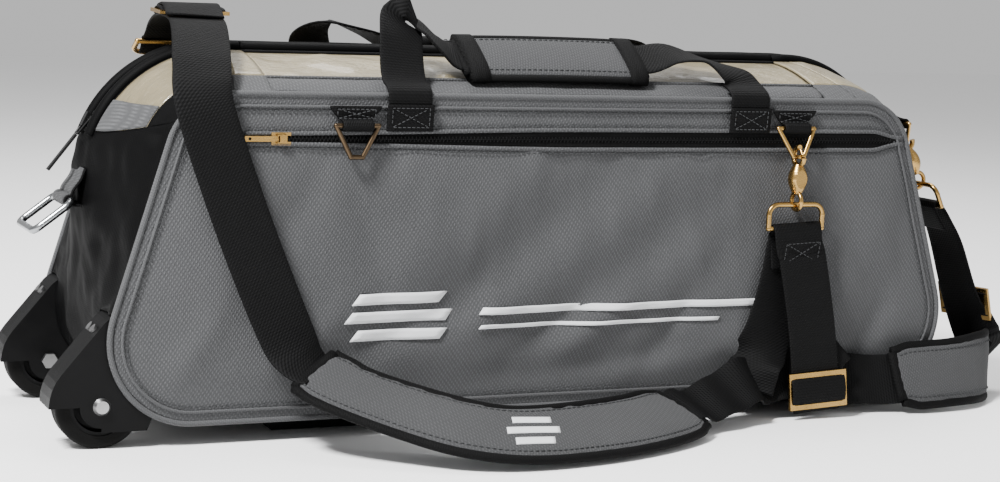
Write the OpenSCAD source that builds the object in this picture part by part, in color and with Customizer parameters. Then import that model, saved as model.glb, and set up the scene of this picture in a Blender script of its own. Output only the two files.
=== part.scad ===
// Rolling three-ball bowling bag: a soft box on two wheels, opened by a long zip along its crest.
// X runs along the bag with the wheels at -X, -Y is the front, the floor is z = 0.
// The origin is the middle of the centre runner's lower face.

/* [Body] */
// Half of the bag's length at its widest
half_len = 382; // [370:1:395]
// Half of the bag's depth, to the outside of the front and back skins
half_depth = 121; // [118:1:125]
// Height of the front and back top seams
seam_z = 276; // [268:1:284]
// Height of the crest, half way between the seams
crest_z = 307; // [300:1:316]
// Height of the bag's underside above the floor
floor_gap = 20; // [18:1:24]
// Radius of the lower corners
bottom_r = 65; // [55:1:70]
// Radius of the upper corners of the front and back skins
top_r = 50; // [40:1:55]
// Radius of the upper corners at the crest
crest_r = 110; // [100:1:115]
// Lean of the front skin's ends from upright, in degrees
lean = 17; // [14:1:20]
// Thickness of the padded fabric walls
wall = 3; // [2:0.5:4]

/* [Lids] */
// Half of the length of the two opening lids
lid_half = 255; // [240:1:256]
// Depth from the crest at which the lids' windows start
tape_y = 22; // [18:1:26]
// Depth from the crest at which the lids' windows end
window_y = 90; // [84:1:94]

/* [Wheels] */
// Radius of the wheels
wheel_r = 34.5; // [32:0.5:36]
// Width of the wheels
wheel_w = 26; // [22:1:27]
// Distance of the axle from the bag's middle
wheel_x = 389; // [384:1:392]
// Depth of each wheel's middle plane
wheel_y = 100; // [98:1:100]
// Radius of the axle bolts
axle_r = 4; // [3:0.5:5]

/* [Pocket] */
// Lower edge of the pocket's zip
zip_low = 236; // [230:1:238]
// Upper edge of the pocket's zip
zip_high = 250; // [248:1:252]
// Ends of the pocket's zip along the bag
zip_ends = [-276, 330];

/* [Straps] */
// Width of the webbing
web_w = 46; // [38:1:50]
// Thickness of the webbing
web_t = 2.5; // [2:0.5:3]
// Width of the shoulder pads
pad_w = 66; // [60:1:70]
// Thickness of the shoulder pads
pad_t = 13; // [10:1:16]
// Places of the four handle legs along the bag
handle_x = [-144, 172];
// Places of the front ring tabs along the bag
ring_x = [-190, 217];

/* [Hidden] */
$fn = 40;
eps = 0.3;

twill = "#707276";
black = "#1b1b1d";
brass = "#b98d3e";
cream = "#ded6b4";

// Planes of the loft: the padded ends reach from one skin's inner face to the other's
skin_in = half_depth - wall;
loft_half = skin_in - 0.1;
inner_wall_y = half_depth - 12;

// Centres of the outline's corner arcs
bottom_c = [half_len - bottom_r, floor_gap + bottom_r];
top_c = [bottom_c.x + (bottom_r - top_r) * cos(lean)
  - (seam_z - top_r - bottom_c.y + (top_r - bottom_r) * sin(lean)) * tan(lean), seam_z - top_r];
crest_c = [half_len - crest_r, crest_z - crest_r];

ARC_LOW = 8;
SIDE = 3;
ARC_HIGH = 12;
ZIP_END = ARC_LOW + SIDE + 1 + ARC_HIGH / 4;
LAST = ARC_LOW + SIDE + 2 + ARC_HIGH;

function on_arc(c, r, a) = [c.x + r * cos(a), c.y + r * sin(a)];
function arc(c, r, a0, a1, n) = [for (i = [0:n]) on_arc(c, r, a0 + (a1 - a0) * i / n)];
function mix(a, b, t) = a + (b - a) * t;

// One end of an outline, from the middle of its lower corner arc up to the lid's edge
function end_line(high_c, high_r, a, d) = let (
    low = arc(bottom_c, bottom_r + d, -90, a, ARC_LOW),
    high = arc(high_c, high_r + d, a, 90, ARC_HIGH),
    p = low[ARC_LOW],
    q = high[0]
  ) concat(low, [for (i = [1:SIDE]) mix(p, q, i / (SIDE + 1))], high,
    [[lid_half + 0.5, high_c.y + high_r + d]]);
function skin_line(d) = end_line(top_c, top_r, lean, d);
function crest_line(d) = end_line(crest_c, crest_r, 0, d);

// How far a section at depth y bulges from the skin's outline towards the crest's
function bulge(y) = 1 - pow(y / loft_half, 2);
function roof(y) = seam_z + (crest_z - seam_z) * bulge(y);

// Whole outline of a skin, grown by d
function skin_outline(d) = let (
    h = [for (i = [0:LAST - 1]) skin_line(d)[i]]
  ) concat(h, [for (i = [LAST - 1:-1:0]) [-h[i].x, h[i].y]]);

module upright(y0, y1) {
  translate([0, y1, 0]) rotate([90, 0, 0]) linear_extrude(height = y1 - y0) children();
}

module skin(y0, y1, d = 0) {
  upright(y0, y1) polygon(skin_outline(d));
}

// Padded shell over one end of the bag, between two points of the outlines
module end_shell(first, last) {
  rows = 12;
  n = last - first + 1;
  m = rows + 1;
  function at(line0, line1, i, y) = mix(line0[i], line1[i], bulge(y));
  sheets = [for (d = [0, -wall]) let (s = skin_line(d), c = crest_line(d))
    [for (i = [first:last]) for (j = [0:rows])
      let (y = -loft_half + 2 * loft_half * j / rows, p = at(s, c, i, y)) [p.x, y, p.y]]];
  function o(i, j) = i * m + j;
  function u(i, j) = n * m + i * m + j;
  faces = concat(
    [for (i = [0:n - 2]) for (j = [0:rows - 1]) for (f = [
      [o(i, j), o(i + 1, j), o(i + 1, j + 1)], [o(i, j), o(i + 1, j + 1), o(i, j + 1)],
      [u(i, j), u(i + 1, j + 1), u(i + 1, j)], [u(i, j), u(i, j + 1), u(i + 1, j + 1)]]) f],
    [for (i = [0:n - 2]) for (f = [
      [u(i, 0), u(i + 1, 0), o(i + 1, 0)], [u(i, 0), o(i + 1, 0), o(i, 0)],
      [u(i, rows), o(i, rows), o(i + 1, rows)], [u(i, rows), o(i + 1, rows), u(i + 1, rows)]]) f],
    [for (j = [0:rows - 1]) for (f = [
      [o(0, j), o(0, j + 1), u(0, j + 1)], [o(0, j), u(0, j + 1), u(0, j)],
      [o(n - 1, j + 1), o(n - 1, j), u(n - 1, j)],
      [o(n - 1, j + 1), u(n - 1, j), u(n - 1, j + 1)]]) f]);
  polyhedron(concat(sheets[0], sheets[1]), faces);
}

// Strip of the roof between two depths, along the lids, from below the surface by low to high
module roof_strip(y0, y1, low, high, half) {
  n = 6;
  ys = [for (i = [0:n]) mix(y0, y1, i / n)];
  rotate([90, 0, 90]) translate([0, 0, -half]) linear_extrude(height = 2 * half)
    polygon(concat([for (y = ys) [y, roof(y) + high]],
      [for (i = [n:-1:0]) [ys[i], roof(ys[i]) + low]]));
}

// Ribbon through stations [centre, direction of its width]
module ribbon(stations, width, thick) {
  n = len(stations);
  function unit(v) = v / norm(v);
  function tangent(i) = unit(stations[min(i + 1, n - 1)][0] - stations[max(i - 1, 0)][0]);
  function across(i) = let (t = tangent(i), w = stations[i][1]) unit(w - t * (t * w));
  points = [for (i = [0:n - 1]) let (
      c = stations[i][0],
      w = across(i) * width / 2,
      k = unit(cross(tangent(i), across(i))) * thick / 2
    ) for (p = [c - w - k, c + w - k, c + w + k, c - w + k]) p];
  sides = [for (i = [0:n - 2]) for (k = [0:3]) let (
      a = 4 * i + (k + 1) % 4,
      b = 4 * i + k
    ) for (f = [[a, b, b + 4], [a, b + 4, a + 4]]) f];
  e = 4 * (n - 1);
  polyhedron(points, concat(sides, [[0, 1, 2], [0, 2, 3], [e + 3, e + 2, e + 1],
    [e + 3, e + 1, e]]));
}

// Round wire through points; the balls at the corners stand a little proud of the wire
module wire(points, r, closed = true) {
  n = len(points);
  for (i = [0:closed ? n - 1 : n - 2]) {
    p = points[i];
    v = points[(i + 1) % n] - p;
    translate(p) rotate([0, acos(v.z / norm(v)), atan2(v.y, v.x)])
      cylinder(h = norm(v), r = r);
  }
  for (p = points) translate(p) sphere(r = r * 1.06);
}

// Places children with their X along u and their Y along v
module face_along(p, u, v) {
  x = u / norm(u);
  z = cross(x, v) / norm(cross(x, v));
  y = cross(z, x);
  multmatrix([[x.x, y.x, z.x, p.x], [x.y, y.y, z.y, p.y], [x.z, y.z, z.z, p.z], [0, 0, 0, 1]])
    children();
}

// Outline round two circles of different size, by their outer tangents
function capsule(c0, r0, c1, r1) = let (
    v = c1 - c0,
    along = atan2(v.y, v.x),
    open = acos((r0 - r1) / norm(v))
  ) concat(arc(c1, r1, along - open, along + open, 12),
    arc(c0, r0, along + open, along + 360 - open, 24));

axle = [-wheel_x, wheel_r];
housing_top = [-374, 88];
housing_top_r = 18;
housing_r = wheel_r + 6.5;
housing_half = wheel_w / 2 + 4.8;
cavity_half = wheel_w / 2 + 1.3;

module housing_block(y, grow = 0) {
  upright(y - housing_half - grow, y + housing_half + grow)
    polygon(capsule(axle, housing_r + grow, housing_top, housing_top_r + grow));
}

module both_wells() {
  for (y = [-wheel_y, wheel_y]) housing_block(y, eps);
}

module base_board() color("dimgray")
  translate([-300, -100, floor_gap + wall + eps]) cube([600, 200, 4]);

module base_panel() color(black)
  translate([-bottom_c.x + 0.2, -loft_half, floor_gap])
    cube([2 * bottom_c.x - 0.4, 2 * loft_half, wall]);

foam_z = floor_gap + wall + 4 + 2 * eps;
foam_t = 12;
seat_pitch = 228;

module ball_seat_foam() color("slategray")
  difference() {
    translate([-325, -108, foam_z]) cube([650, 220, foam_t]);
    for (i = [-1:1]) translate([i * seat_pitch, 2, foam_z - 1])
      cylinder(h = foam_t + 2, r = 45, $fn = 60);
  }

module front_wall() color(black)
  difference() {
    skin(-inner_wall_y - wall, -inner_wall_y, -wall - 0.6);
    both_wells();
  }

module front_pocket_panel() color(twill)
  difference() {
    skin(-half_depth, -skin_in);
    translate([-500, -half_depth - 5, zip_high]) cube([1000, 20, 100]);
    translate([zip_ends[0] - 0.5, -half_depth - 5, zip_low - 0.5])
      cube([zip_ends[1] - zip_ends[0] + 1, 20, 50]);
  }

module front_top_band() color(twill)
  intersection() {
    skin(-half_depth, -skin_in);
    translate([-500, -half_depth - 5, zip_high + eps]) cube([1000, 20, 100]);
  }

module back_wall() color(twill)
  skin(skin_in, half_depth);

module left_end_panel() color(black)
  difference() {
    mirror([1, 0, 0]) end_shell(0, ZIP_END);
    both_wells();
  }

module right_end_panel() color(black)
  end_shell(0, ZIP_END);

module left_top_cap() color(twill)
  mirror([1, 0, 0]) end_shell(ZIP_END, LAST);

module right_top_cap() color(twill)
  end_shell(ZIP_END, LAST);

// The lids hinge where the roof leaves the strips along the seams
hinge_y = 110.5;
hinge_z = roof(hinge_y);

module seam_strips() color(twill)
  for (s = [-1, 1]) scale_y(s) roof_strip(-loft_half + 0.1, -hinge_y - 0.5, -wall, 0, lid_half);

module scale_y(s) {
  if (s > 0) children();
  else mirror([0, 1, 0]) children();
}

module piping() color(twill)
  for (s = [-1, 1]) scale_y(s) difference() {
    skin(-half_depth - 1, -half_depth + 3, 4);
    skin(-half_depth - 2, -half_depth + 4, 0.15);
  }

module ball_dividers() color("slategray")
  for (x = [-115, 115]) translate([x - 4, -inner_wall_y + eps, foam_z + foam_t + eps])
    cube([8, inner_wall_y + skin_in - 2 * eps, 226]);

// Runners: long bars with sloped ends
module base_runners() color(black)
  for (y = [-70, 0, 70]) upright(y - 11, y + 11)
    polygon([[-240, 0], [330, 0], [345, floor_gap - 0.1], [-255, floor_gap - 0.1]]);

module wheel_housing(y) {
  difference() {
    union() {
      difference() {
        housing_block(y);
        upright(y - cavity_half, y + cavity_half)
          polygon(capsule(axle, housing_r - 3.5, housing_top, housing_top_r - 3.5));
        translate([-500, y - 50, -20]) cube([500 - wheel_x, 100, wheel_r + 20]);
        translate([-500, y - 50, -20]) cube([400, 100, 34]);
      }
      for (s = [-1, 1]) translate([axle.x, y + s * (housing_half + cavity_half) / 2, axle.y])
        rotate([90, 0, 0]) cylinder(h = housing_half - cavity_half, r = 17, center = true, $fn = 60);
    }
    translate([axle.x, y, axle.y]) rotate([90, 0, 0])
      cylinder(h = 100, r = axle_r + 0.1, center = true);
    at_screws(y) translate([0, 0, -3]) cylinder(h = 12, r = screw_r + 0.1);
  }
}

// The housing's outer slope: its angle, and points 8 mm down it from the round top
screw_r = 2;
slope = let (v = housing_top - axle)
  atan2(v.y, v.x) + acos((housing_r - housing_top_r) / norm(v));
screw_foot = on_arc(housing_top, housing_top_r, slope) + 8 * [cos(slope + 90), sin(slope + 90)];
module at_screws(y) {
  for (s = [-1, 1]) translate([screw_foot.x, y + s * 6, screw_foot.y])
    rotate([0, 270 - slope, 0]) children();
}

module wheel_housing_front() color(black) wheel_housing(-wheel_y);
module wheel_housing_rear() color(black) wheel_housing(wheel_y);

module housing_screws() color("silver")
  for (y = [-wheel_y, wheel_y]) at_screws(y) {
    translate([0, 0, -1]) cylinder(h = 9, r = screw_r);
    translate([0, 0, -2.3]) cylinder(h = 2.2, r = 3.6);
  }

// Bolt with a domed head outside and a nut inside
module axle_bolts() color("silver")
  for (s = [-1, 1]) translate([axle.x, s * wheel_y, axle.y]) rotate([s * -90, 0, 0]) {
    translate([0, 0, -housing_half - 2]) cylinder(h = 2 * housing_half + 4, r = axle_r);
    translate([0, 0, housing_half + 0.05]) cylinder(h = 3, r1 = 7, r2 = 5);
    translate([0, 0, -housing_half - 5]) cylinder(h = 4.9, r = 7, $fn = 6);
  }

module tyre(y) color("#202020")
  translate([axle.x, y, axle.y]) rotate([90, 0, 0]) rotate_extrude($fn = 96)
    polygon(concat([[24, -wheel_w / 2], [wheel_r - 5, -wheel_w / 2]],
      arc([wheel_r - 5, -wheel_w / 2 + 5], 5, -80, 0, 6),
      arc([wheel_r - 5, wheel_w / 2 - 5], 5, 0, 80, 6),
      [[wheel_r - 5, wheel_w / 2], [24, wheel_w / 2]]));

module hub(y) color("#2b2b2e")
  translate([axle.x, y, axle.y]) rotate([90, 0, 0]) rotate_extrude($fn = 96)
    polygon([[8, -12], [13, -12], [14, -5], [20, -5], [21, -12], [24, -12],
      [24, 12], [21, 12], [20, 5], [14, 5], [13, 12], [8, 12]]);

module bearing(y) color("silver")
  translate([axle.x, y, axle.y]) rotate([90, 0, 0]) difference() {
    cylinder(h = wheel_w + 1.6, r = 8, center = true, $fn = 60);
    cylinder(h = wheel_w + 5, r = axle_r + 0.05, center = true, $fn = 60);
  }

module tyre_front() tyre(-wheel_y);
module tyre_rear() tyre(wheel_y);
module hub_front() hub(-wheel_y);
module hub_rear() hub(wheel_y);
module bearing_front() bearing(-wheel_y);
module bearing_rear() bearing(wheel_y);

module pocket_zip_tape() color(black)
  upright(-half_depth + 0.5, -skin_in) polygon([[zip_ends[0], zip_low], [zip_ends[1], zip_low],
    [zip_ends[1] - 6, zip_high], [zip_ends[0], zip_high]]);

slider_x = -251;
slider_z = (zip_low + zip_high) / 2;

// Slider on the pocket's zip, with two ears for the pull's pin
module pocket_zip_slider() color(brass)
  difference() {
    translate([slider_x - 8, -half_depth - 2, slider_z - 5]) union() {
      cube([16, 2.2, 10]);
      translate([4, -3.2, 1.5]) cube([8, 3.4, 7]);
    }
    translate([slider_x, -half_depth - 3.4, slider_z - 2.4]) cube([20, 10, 4.8], center = false);
    translate([slider_x - 5, -half_depth - 3.5, slider_z - 2.4]) cube([6, 1.6, 4.8]);
    translate([slider_x - 5, -half_depth - 6, slider_z - 2.4]) cube([3, 4, 4.8]);
  }

// Pull lying back along the zip, turning on an upright pin
module pocket_zip_pull() color(brass)
  difference() {
    union() {
      translate([slider_x - 30, -half_depth - 3.4, slider_z - 2.2]) cube([27, 1.4, 4.4]);
      translate([slider_x - 2.8, -half_depth - 2.7, slider_z - 2.2]) cylinder(h = 4.4, r = 0.7);
    }
    translate([slider_x - 26, -half_depth - 5, slider_z]) rotate([-90, 0, 0])
      cylinder(h = 6, r = 1.2);
  }

// Leg of a handle where it is sewn to the body, ending in front of the piping
module handle_leg(x) {
  w = [1, 0, 0];
  y = half_depth + 2;
  ribbon([[[x, -y, zip_high + 2], w], [[x, -y - 0.6, seam_z - 2], w],
    [[x, -y - 0.8, seam_z + 3], w]], handle_w, web_t);
}
handle_w = 40;

module handle_bases() color(black)
  for (s = [-1, 1]) scale_y(s) for (x = handle_x) handle_leg(x);

// Tab: a patch sewn to the body and a roll that holds a ring's bar; X is the bar's direction
roll_r = 4.4;
roll_w = 24;
ring_pivot = 8;
module tab() {
  difference() {
    union() {
      translate([0, -ring_pivot, 0]) rotate([0, 90, 0])
        cylinder(h = roll_w, r = roll_r, center = true);
      translate([-21, -3, 1]) cube([42, 2.7, 13]);
      translate([-roll_w / 2, -ring_pivot, 1]) cube([roll_w, 6, 3]);
    }
    translate([0, -ring_pivot, 0]) rotate([0, 90, 0]) cylinder(h = 60, r = 2.35, center = true);
  }
}

tab_z = 254;
back_ring_x = -290;
right_tab = [371, -60, 255];

module ring_tabs() color(black) {
  for (x = ring_x) translate([x, -half_depth, tab_z]) tab();
  translate([back_ring_x, half_depth, tab_z]) rotate([0, 0, 180]) tab();
  translate(right_tab) rotate([0, 0, 90]) tab_short();
}

// Tab of the right end, whose patch runs back to the padded corner
module tab_short() {
  difference() {
    union() {
      rotate([0, 90, 0]) cylinder(h = roll_w, r = roll_r, center = true);
      translate([-roll_w / 2, 0, 1.2]) cube([roll_w, 9, 3]);
    }
    rotate([0, 90, 0]) cylinder(h = 60, r = 2.35, center = true);
  }
}

// Triangular ring hanging from its bar, leaning out by the angle given
module tri_ring(h) {
  wire([[-18, 0, 0], [18, 0, 0], [5, 0, -h], [-5, 0, -h]], 2);
}

ring_h = 25;
right_ring_h = 18;
front_pivot = [0, -half_depth - ring_pivot, tab_z];
held_lean = -14;
back_lean = 172;
right_lean = -26;

module free_ring() color("#6b5430")
  translate([ring_x[0], front_pivot.y, front_pivot.z]) tri_ring(ring_h);

module held_rings() color(brass) {
  translate([ring_x[1], front_pivot.y, front_pivot.z]) rotate([held_lean, 0, 0]) tri_ring(ring_h);
  translate([back_ring_x, -front_pivot.y, tab_z]) rotate([back_lean, 0, 0]) tri_ring(ring_h);
  translate(right_tab) rotate([0, right_lean, 0]) rotate([0, 0, 90]) tri_ring(right_ring_h);
}

// Swivel snap hook hanging down from the middle of its eye: open eye, barrel and swivel ring.
// The eye and the swivel ring lie in the YZ plane.
hook_eye = 8;
hook_len = 39;
hook_body = [-6.5, -32.5];
// The eye is open between these angles, measured from +Y towards +Z
gap = [95, 185];
function eye_at(a) = [0, hook_eye * cos(a), hook_eye * sin(a)];

module snap_hook() {
  rotate([0, 90, 0]) rotate([0, 0, 90 + gap[1]]) rotate_extrude(angle = 360 - gap[1] + gap[0], $fn = 48)
    translate([hook_eye, 0]) circle(r = 2.4, $fn = 24);
  intersection() {
    rotate_extrude($fn = 60) polygon(concat([[0, hook_body[1]]],
      [for (i = [0:12]) let (t = i / 12) [4 + 4.6 * sin(180 * t), mix(hook_body[1], hook_body[0], t)]],
      [[0, hook_body[0]]]));
    translate([0, 0, -20]) cube([24, 13, 32], center = true);
  }
  translate([0, 0, -32.5]) cylinder(h = 3, r = 3);
  translate([0, 0, -hook_len]) rotate([0, 90, 0]) rotate_extrude($fn = 48)
    translate([7.6, 0]) circle(r = 2, $fn = 24);
}

// Sprung bar across the open eye, on a cross pin at its lower end
gate_r = 1.5;
gate_line = eye_at(gap[0]) - eye_at(gap[1]);
gate_dir = gate_line / norm(gate_line);
gate_pin = eye_at(gap[1]) + 2.3 * gate_dir;
module hook_gate() {
  translate(gate_pin) {
    rotate([0, 90, 0]) cylinder(h = 3.2, r = gate_r, center = true);
    rotate([-acos(gate_dir.z), 0, 0]) cylinder(h = norm(gate_line) - 5, r = gate_r - 0.1);
  }
}

// Oblong strap loop hanging below the swivel ring
loop_w = 54;
loop_h = 21;
loop_r = 2.3;
loop_corner = 9;
module strap_loop() {
  b = loop_w / 2;
  wire([[-b, 0, -loop_corner], [-b, 0, -loop_h], [b, 0, -loop_h], [b, 0, -loop_corner]],
    loop_r, false);
  rotate([0, 90, 0]) cylinder(h = loop_w - 2 * loop_corner, r = loop_r, center = true);
  for (s = [-1, 1]) translate([s * (b - loop_corner), 0, -loop_corner])
    rotate([90, 0, 0]) rotate([0, 0, s > 0 ? 0 : 90])
      rotate_extrude(angle = 90) translate([loop_corner, 0]) circle(r = loop_r);
}

drop_hook = [ring_x[1], front_pivot.y - ring_h * sin(-held_lean) - 0.4, 230];
back_hook = [back_ring_x, 133.5, 280.5];
back_turn = -118;
right_hook = [380.5, -60, 236.5];
right_turn = -24;

module at_hooks(below) {
  translate(drop_hook) translate([0, 0, -below]) children();
  translate(back_hook) rotate([back_turn, 0, 0]) translate([0, 0, -below]) children();
  translate(right_hook) rotate([0, right_turn, 0]) rotate([0, 0, 90]) translate([0, 0, -below])
    children();
}

module snap_hooks() color(brass) at_hooks(0) snap_hook();
module strap_loops() color(brass) at_hooks(hook_len + 3) strap_loop();
module hook_gate_drop() color(brass) translate(drop_hook) hook_gate();

// Three-bar slide that lies on the webbing: X across it, Z away from it
module adjuster() {
  translate([0, 0, web_t / 2 + 0.4]) linear_extrude(height = 3) difference() {
    square([58, 32], center = true);
    for (s = [-1, 1]) translate([0, s * 7.5]) square([49, 8.5], center = true);
  }
}

module strap_adjusters() color(brass) {
  face_along([236, -153.5, 26], [1, 0, 0.05], [-0.05, 0.08, 1]) adjuster();
  face_along([-296, -12, 335], [1, 0, 0], [0, 1, 0.05]) adjuster();
  face_along([457.5, -60.8, 83.3], [-0.27, 0.96, 0], [-0.28, 0, 0.96]) adjuster();
}

// Strap from the back ring's hook over the top to the long pad
module strap_left() color(black)
  ribbon([
    [[-290, 60, 326], [1, 0, 0]], [[-292, 30, 334], [1, 0, 0]], [[-296, -12, 335], [1, 0, 0]],
    [[-300, -50, 330], [1, 0, 0]], [[-306, -82, 316], [1, 0, 0]],
    [[-313, -112, 297], [0.99, 0, 0.1]], [[-314, -130, 268], [0.96, 0, 0.26]],
    [[-293, -131, 203], [0.94, 0, 0.34]], [[-269, -133, 141], [0.94, 0, 0.33]],
    [[-247, -138, 88], [0.9, 0.1, 0.4]], [[-236, -146, 69], [0.6, 0.45, 0.4]]], web_w, web_t);

// Long shoulder pad, its lower edge on the floor in front of the bag
module shoulder_pad_long() color(twill)
  ribbon([
    [[-228, -151, 62], [-0.1, 0.85, 0.5]], [[-206, -176, 50], [0.4, 0.8, 0.4]],
    [[-163, -208, 36], [0.5, 0.75, 0.4]], [[-124, -233, 27], [0.35, 0.85, 0.45]],
    [[-79, -240, 22], [0.25, 0.88, 0.42]], [[-14, -230, 21], [0.05, 0.9, 0.42]],
    [[44, -207, 20.5], [-0.15, 0.9, 0.4]], [[88, -178, 20.5], [-0.4, 0.82, 0.36]]], pad_w, pad_t);

// Webbing between the pads, behind the drop strap
module strap_middle() color(black)
  ribbon([
    [[95, -175, 22], [-0.3, 0.86, 0.36]], [[134, -162, 25.5], [-0.25, 0.8, 0.5]],
    [[174, -146, 34], [-0.1, 0.65, 0.75]], [[214, -138, 38], [0, 0.4, 0.9]],
    [[262, -136, 33], [0, 0.35, 0.9]], [[300, -138, 29], [0, 0.4, 0.9]],
    [[318, -143, 28], [0, 0.45, 0.9]]], web_w, web_t);

// Short shoulder pad, leaning on the right end's corner
module shoulder_pad_short() color(twill)
  ribbon([
    [[326, -147, 32], [-0.2, 0.45, 0.88]], [[362, -147, 33], [0, 0.45, 0.88]],
    [[404, -139, 33], [0.15, 0.5, 0.85]], [[440, -118, 32.5], [0.3, 0.45, 0.85]],
    [[467, -86, 32], [0.2, 0.2, 0.9]]], pad_w * 0.9, pad_t);

// Webbing from the short pad up to the right ring's hook
module strap_right() color(black)
  ribbon([
    [[466, -72, 58], [-0.6, 0.8, 0]], [[459, -62, 76], [-0.35, 0.93, 0]],
    [[447, -60, 100], [-0.2, 0.97, 0]], [[433, -60, 142], [-0.1, 1, 0]],
    [[421, -60, 166], [0, 1, 0]], [[413, -60, 173], [0, 1, 0]]], web_w, web_t);

// Short strap hanging from the front ring's hook to its adjuster
module strap_drop() color(black)
  ribbon([
    [[219, -136, 160], [1, 0, 0.05]], [[224, -141, 140], [1, 0, 0.05]],
    [[231, -149, 80], [1, 0, 0.06]], [[235, -153, 34], [1, 0, 0.06]],
    [[237, -155, 8], [1, 0, 0.06]]], web_w, web_t);

// Grab ring of the wheeled end, in a fabric tab that stands out from the padded end
end_pivot = [-395, 0, 184];
module end_tab() color(twill)
  difference() {
    union() {
      translate(end_pivot) rotate([90, 0, 0]) cylinder(h = 44, r = 6, center = true);
      upright(-22, 22) polygon([[-half_len - 0.4, 206], [-half_len - 0.4, 190],
        [end_pivot.x - 2, 180], [end_pivot.x - 4, 188]]);
    }
    translate(end_pivot) rotate([90, 0, 0]) cylinder(h = 60, r = 3.3, center = true);
  }

// Oblong wire ring with round corners; its first bar lies on Y through the origin
module round_loop(half, h, corner, r) {
  for (x = [0, -h]) translate([x, 0, 0]) rotate([90, 0, 0])
    cylinder(h = 2 * (half - corner), r = r, center = true);
  for (s = [-1, 1]) translate([-corner, s * half, 0]) rotate([0, -90, 0])
    cylinder(h = h - 2 * corner, r = r);
  for (x = [-corner, corner - h]) for (s = [-1, 1])
    translate([x, s * (half - corner), 0])
      rotate([0, 0, (x < -h / 2 ? (s > 0 ? 90 : 180) : (s > 0 ? 0 : 270))])
        rotate_extrude(angle = 90) translate([corner, 0]) circle(r = r);
}

module end_grab_ring() color("silver")
  translate(end_pivot) rotate([0, -37, 0]) round_loop(31, 38, 7, 3);

// Lids: a band at the seam, a clear window and the zip tape along the crest
module lid_band(s) scale_y(s) roof_strip(-hinge_y, -window_y - 0.1, -wall, 0, lid_half);
module window(s) scale_y(s) roof_strip(-window_y, -tape_y - 0.1, -wall + 1, -0.5, lid_half);
module lid_zip_tape(s) scale_y(s) {
  roof_strip(-tape_y, -1.2, -wall, 0, lid_half);
  roof_strip(-tape_y + 5, -1.2, -1.5, 4, lid_half);
}

module lid_band_front() color(twill) lid_band(1);
module lid_band_rear() color(twill) lid_band(-1);
module window_front() color(cream) window(1);
module window_rear() color(cream) window(-1);
module lid_zip_tape_front() color(black) lid_zip_tape(1);
module lid_zip_tape_rear() color(black) lid_zip_tape(-1);

grip_half = 82;
grip_w = 58;
grip_t = 13;
grip_lean = [0, 0.82, 0.57];
grip_at = [-80, 308];
module handle_front() color(black) {
  ribbon([[[handle_x[0], -hinge_y + 2, hinge_z + 7], [1, 0, 0]],
    [[handle_x[0] + 1, -100, 300], [1, 0, 0]], [[-140, -88, 326], [1, 0, 0]],
    [[-134, -74, 338], [0.9, 0.3, -0.2]], [[-118, -73, 333], [0.3, 0.9, 0.2]],
    [[-104, -79, 320], [0.1, 0.92, 0.4]], [[-grip_half - 10, grip_at[0], grip_at[1] + 2], grip_lean],
    [[-grip_half - 2, grip_at[0], grip_at[1]], grip_lean]], handle_w, web_t);
  ribbon([[[grip_half + 2, grip_at[0], grip_at[1]], grip_lean],
    [[grip_half + 10, grip_at[0], grip_at[1] + 2], grip_lean], [[116, -79, 315], [0.1, 0.92, 0.4]],
    [[146, -86, 310], [0.5, 0.8, 0]], [[166, -99, 299], [0.9, 0.3, 0]],
    [[handle_x[1], -hinge_y + 4, hinge_z + 12], [1, 0, 0]],
    [[handle_x[1], -hinge_y + 2, hinge_z + 7], [1, 0, 0]]], handle_w, web_t);
}

module grip_front() color(twill)
  ribbon([for (x = [-grip_half, -40, 0, 40, grip_half])
    [[x, grip_at[0], grip_at[1] - pow(x / grip_half, 2)], grip_lean]], grip_w, grip_t);

module handle_rear() color(black) {
  ribbon([[[handle_x[0], hinge_y - 2, hinge_z + 7], [1, 0, 0]],
    [[handle_x[0], hinge_y - 4, hinge_z + 12], [1, 0, 0]],
    [[-156, 92, 302], [0.95, 0.3, 0]], [[-168, 62, 322], [0.9, 0.4, 0]],
    [[-158, 42, 332], [0.5, 0.8, 0]], [[-124, 44, 324], [0.1, 1, -0.1]],
    [[-grip_half - 12, 51, 312.5], [0, 0.97, -0.23]],
    [[-grip_half - 2, 52, 311], [0, 0.97, -0.23]]], handle_w, web_t);
  ribbon([[[grip_half + 2, 52, 311], [0, 0.97, -0.23]],
    [[grip_half + 12, 51, 312.5], [0, 0.97, -0.23]], [[120, 50, 321], [0, 1, -0.1]],
    [[150, 66, 318], [-0.5, 0.8, 0]], [[167, 92, 302], [-0.9, 0.3, 0]],
    [[handle_x[1], hinge_y - 4, hinge_z + 12], [-1, 0, 0]],
    [[handle_x[1], hinge_y - 2, hinge_z + 7], [-1, 0, 0]]], handle_w, web_t);
}

module grip_rear() color(twill)
  ribbon([for (x = [-grip_half, -40, 0, 40, grip_half])
    [[x, 52, 311], [0, 0.97, -0.23]]], 47, 11);

// Sliders of the main zip, on the round corners of the crest
slide_at = 26;
slide_r = crest_r + 0.8;
module main_slider() {
  translate([crest_c.x, 0, crest_c.y]) rotate([0, -slide_at, 0]) translate([slide_r, 0, 0])
    difference() {
      union() {
        translate([0, -7, -9]) cube([3, 14, 18]);
        translate([2.9, -3.5, -6]) cube([6, 7, 12]);
      }
      translate([4.2, -5, -4]) cube([2.8, 10, 8]);
    }
}

// Pull: a wire eye through the slider's bridge and a stiff ribbon below it
pull_turn = 12;
pull_pivot = on_arc(crest_c, slide_r + 5.6, slide_at);
module main_pull() {
  translate([pull_pivot.x, 0, pull_pivot.y]) rotate([0, -slide_at - pull_turn, 0]) {
    wire([[0, -5.5, 0], [0, 5.5, 0], [0, 4, -14], [0, -4, -14]], 1);
    translate([-1, -3, -52]) cube([2, 6, 36.8]);
  }
}

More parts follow.
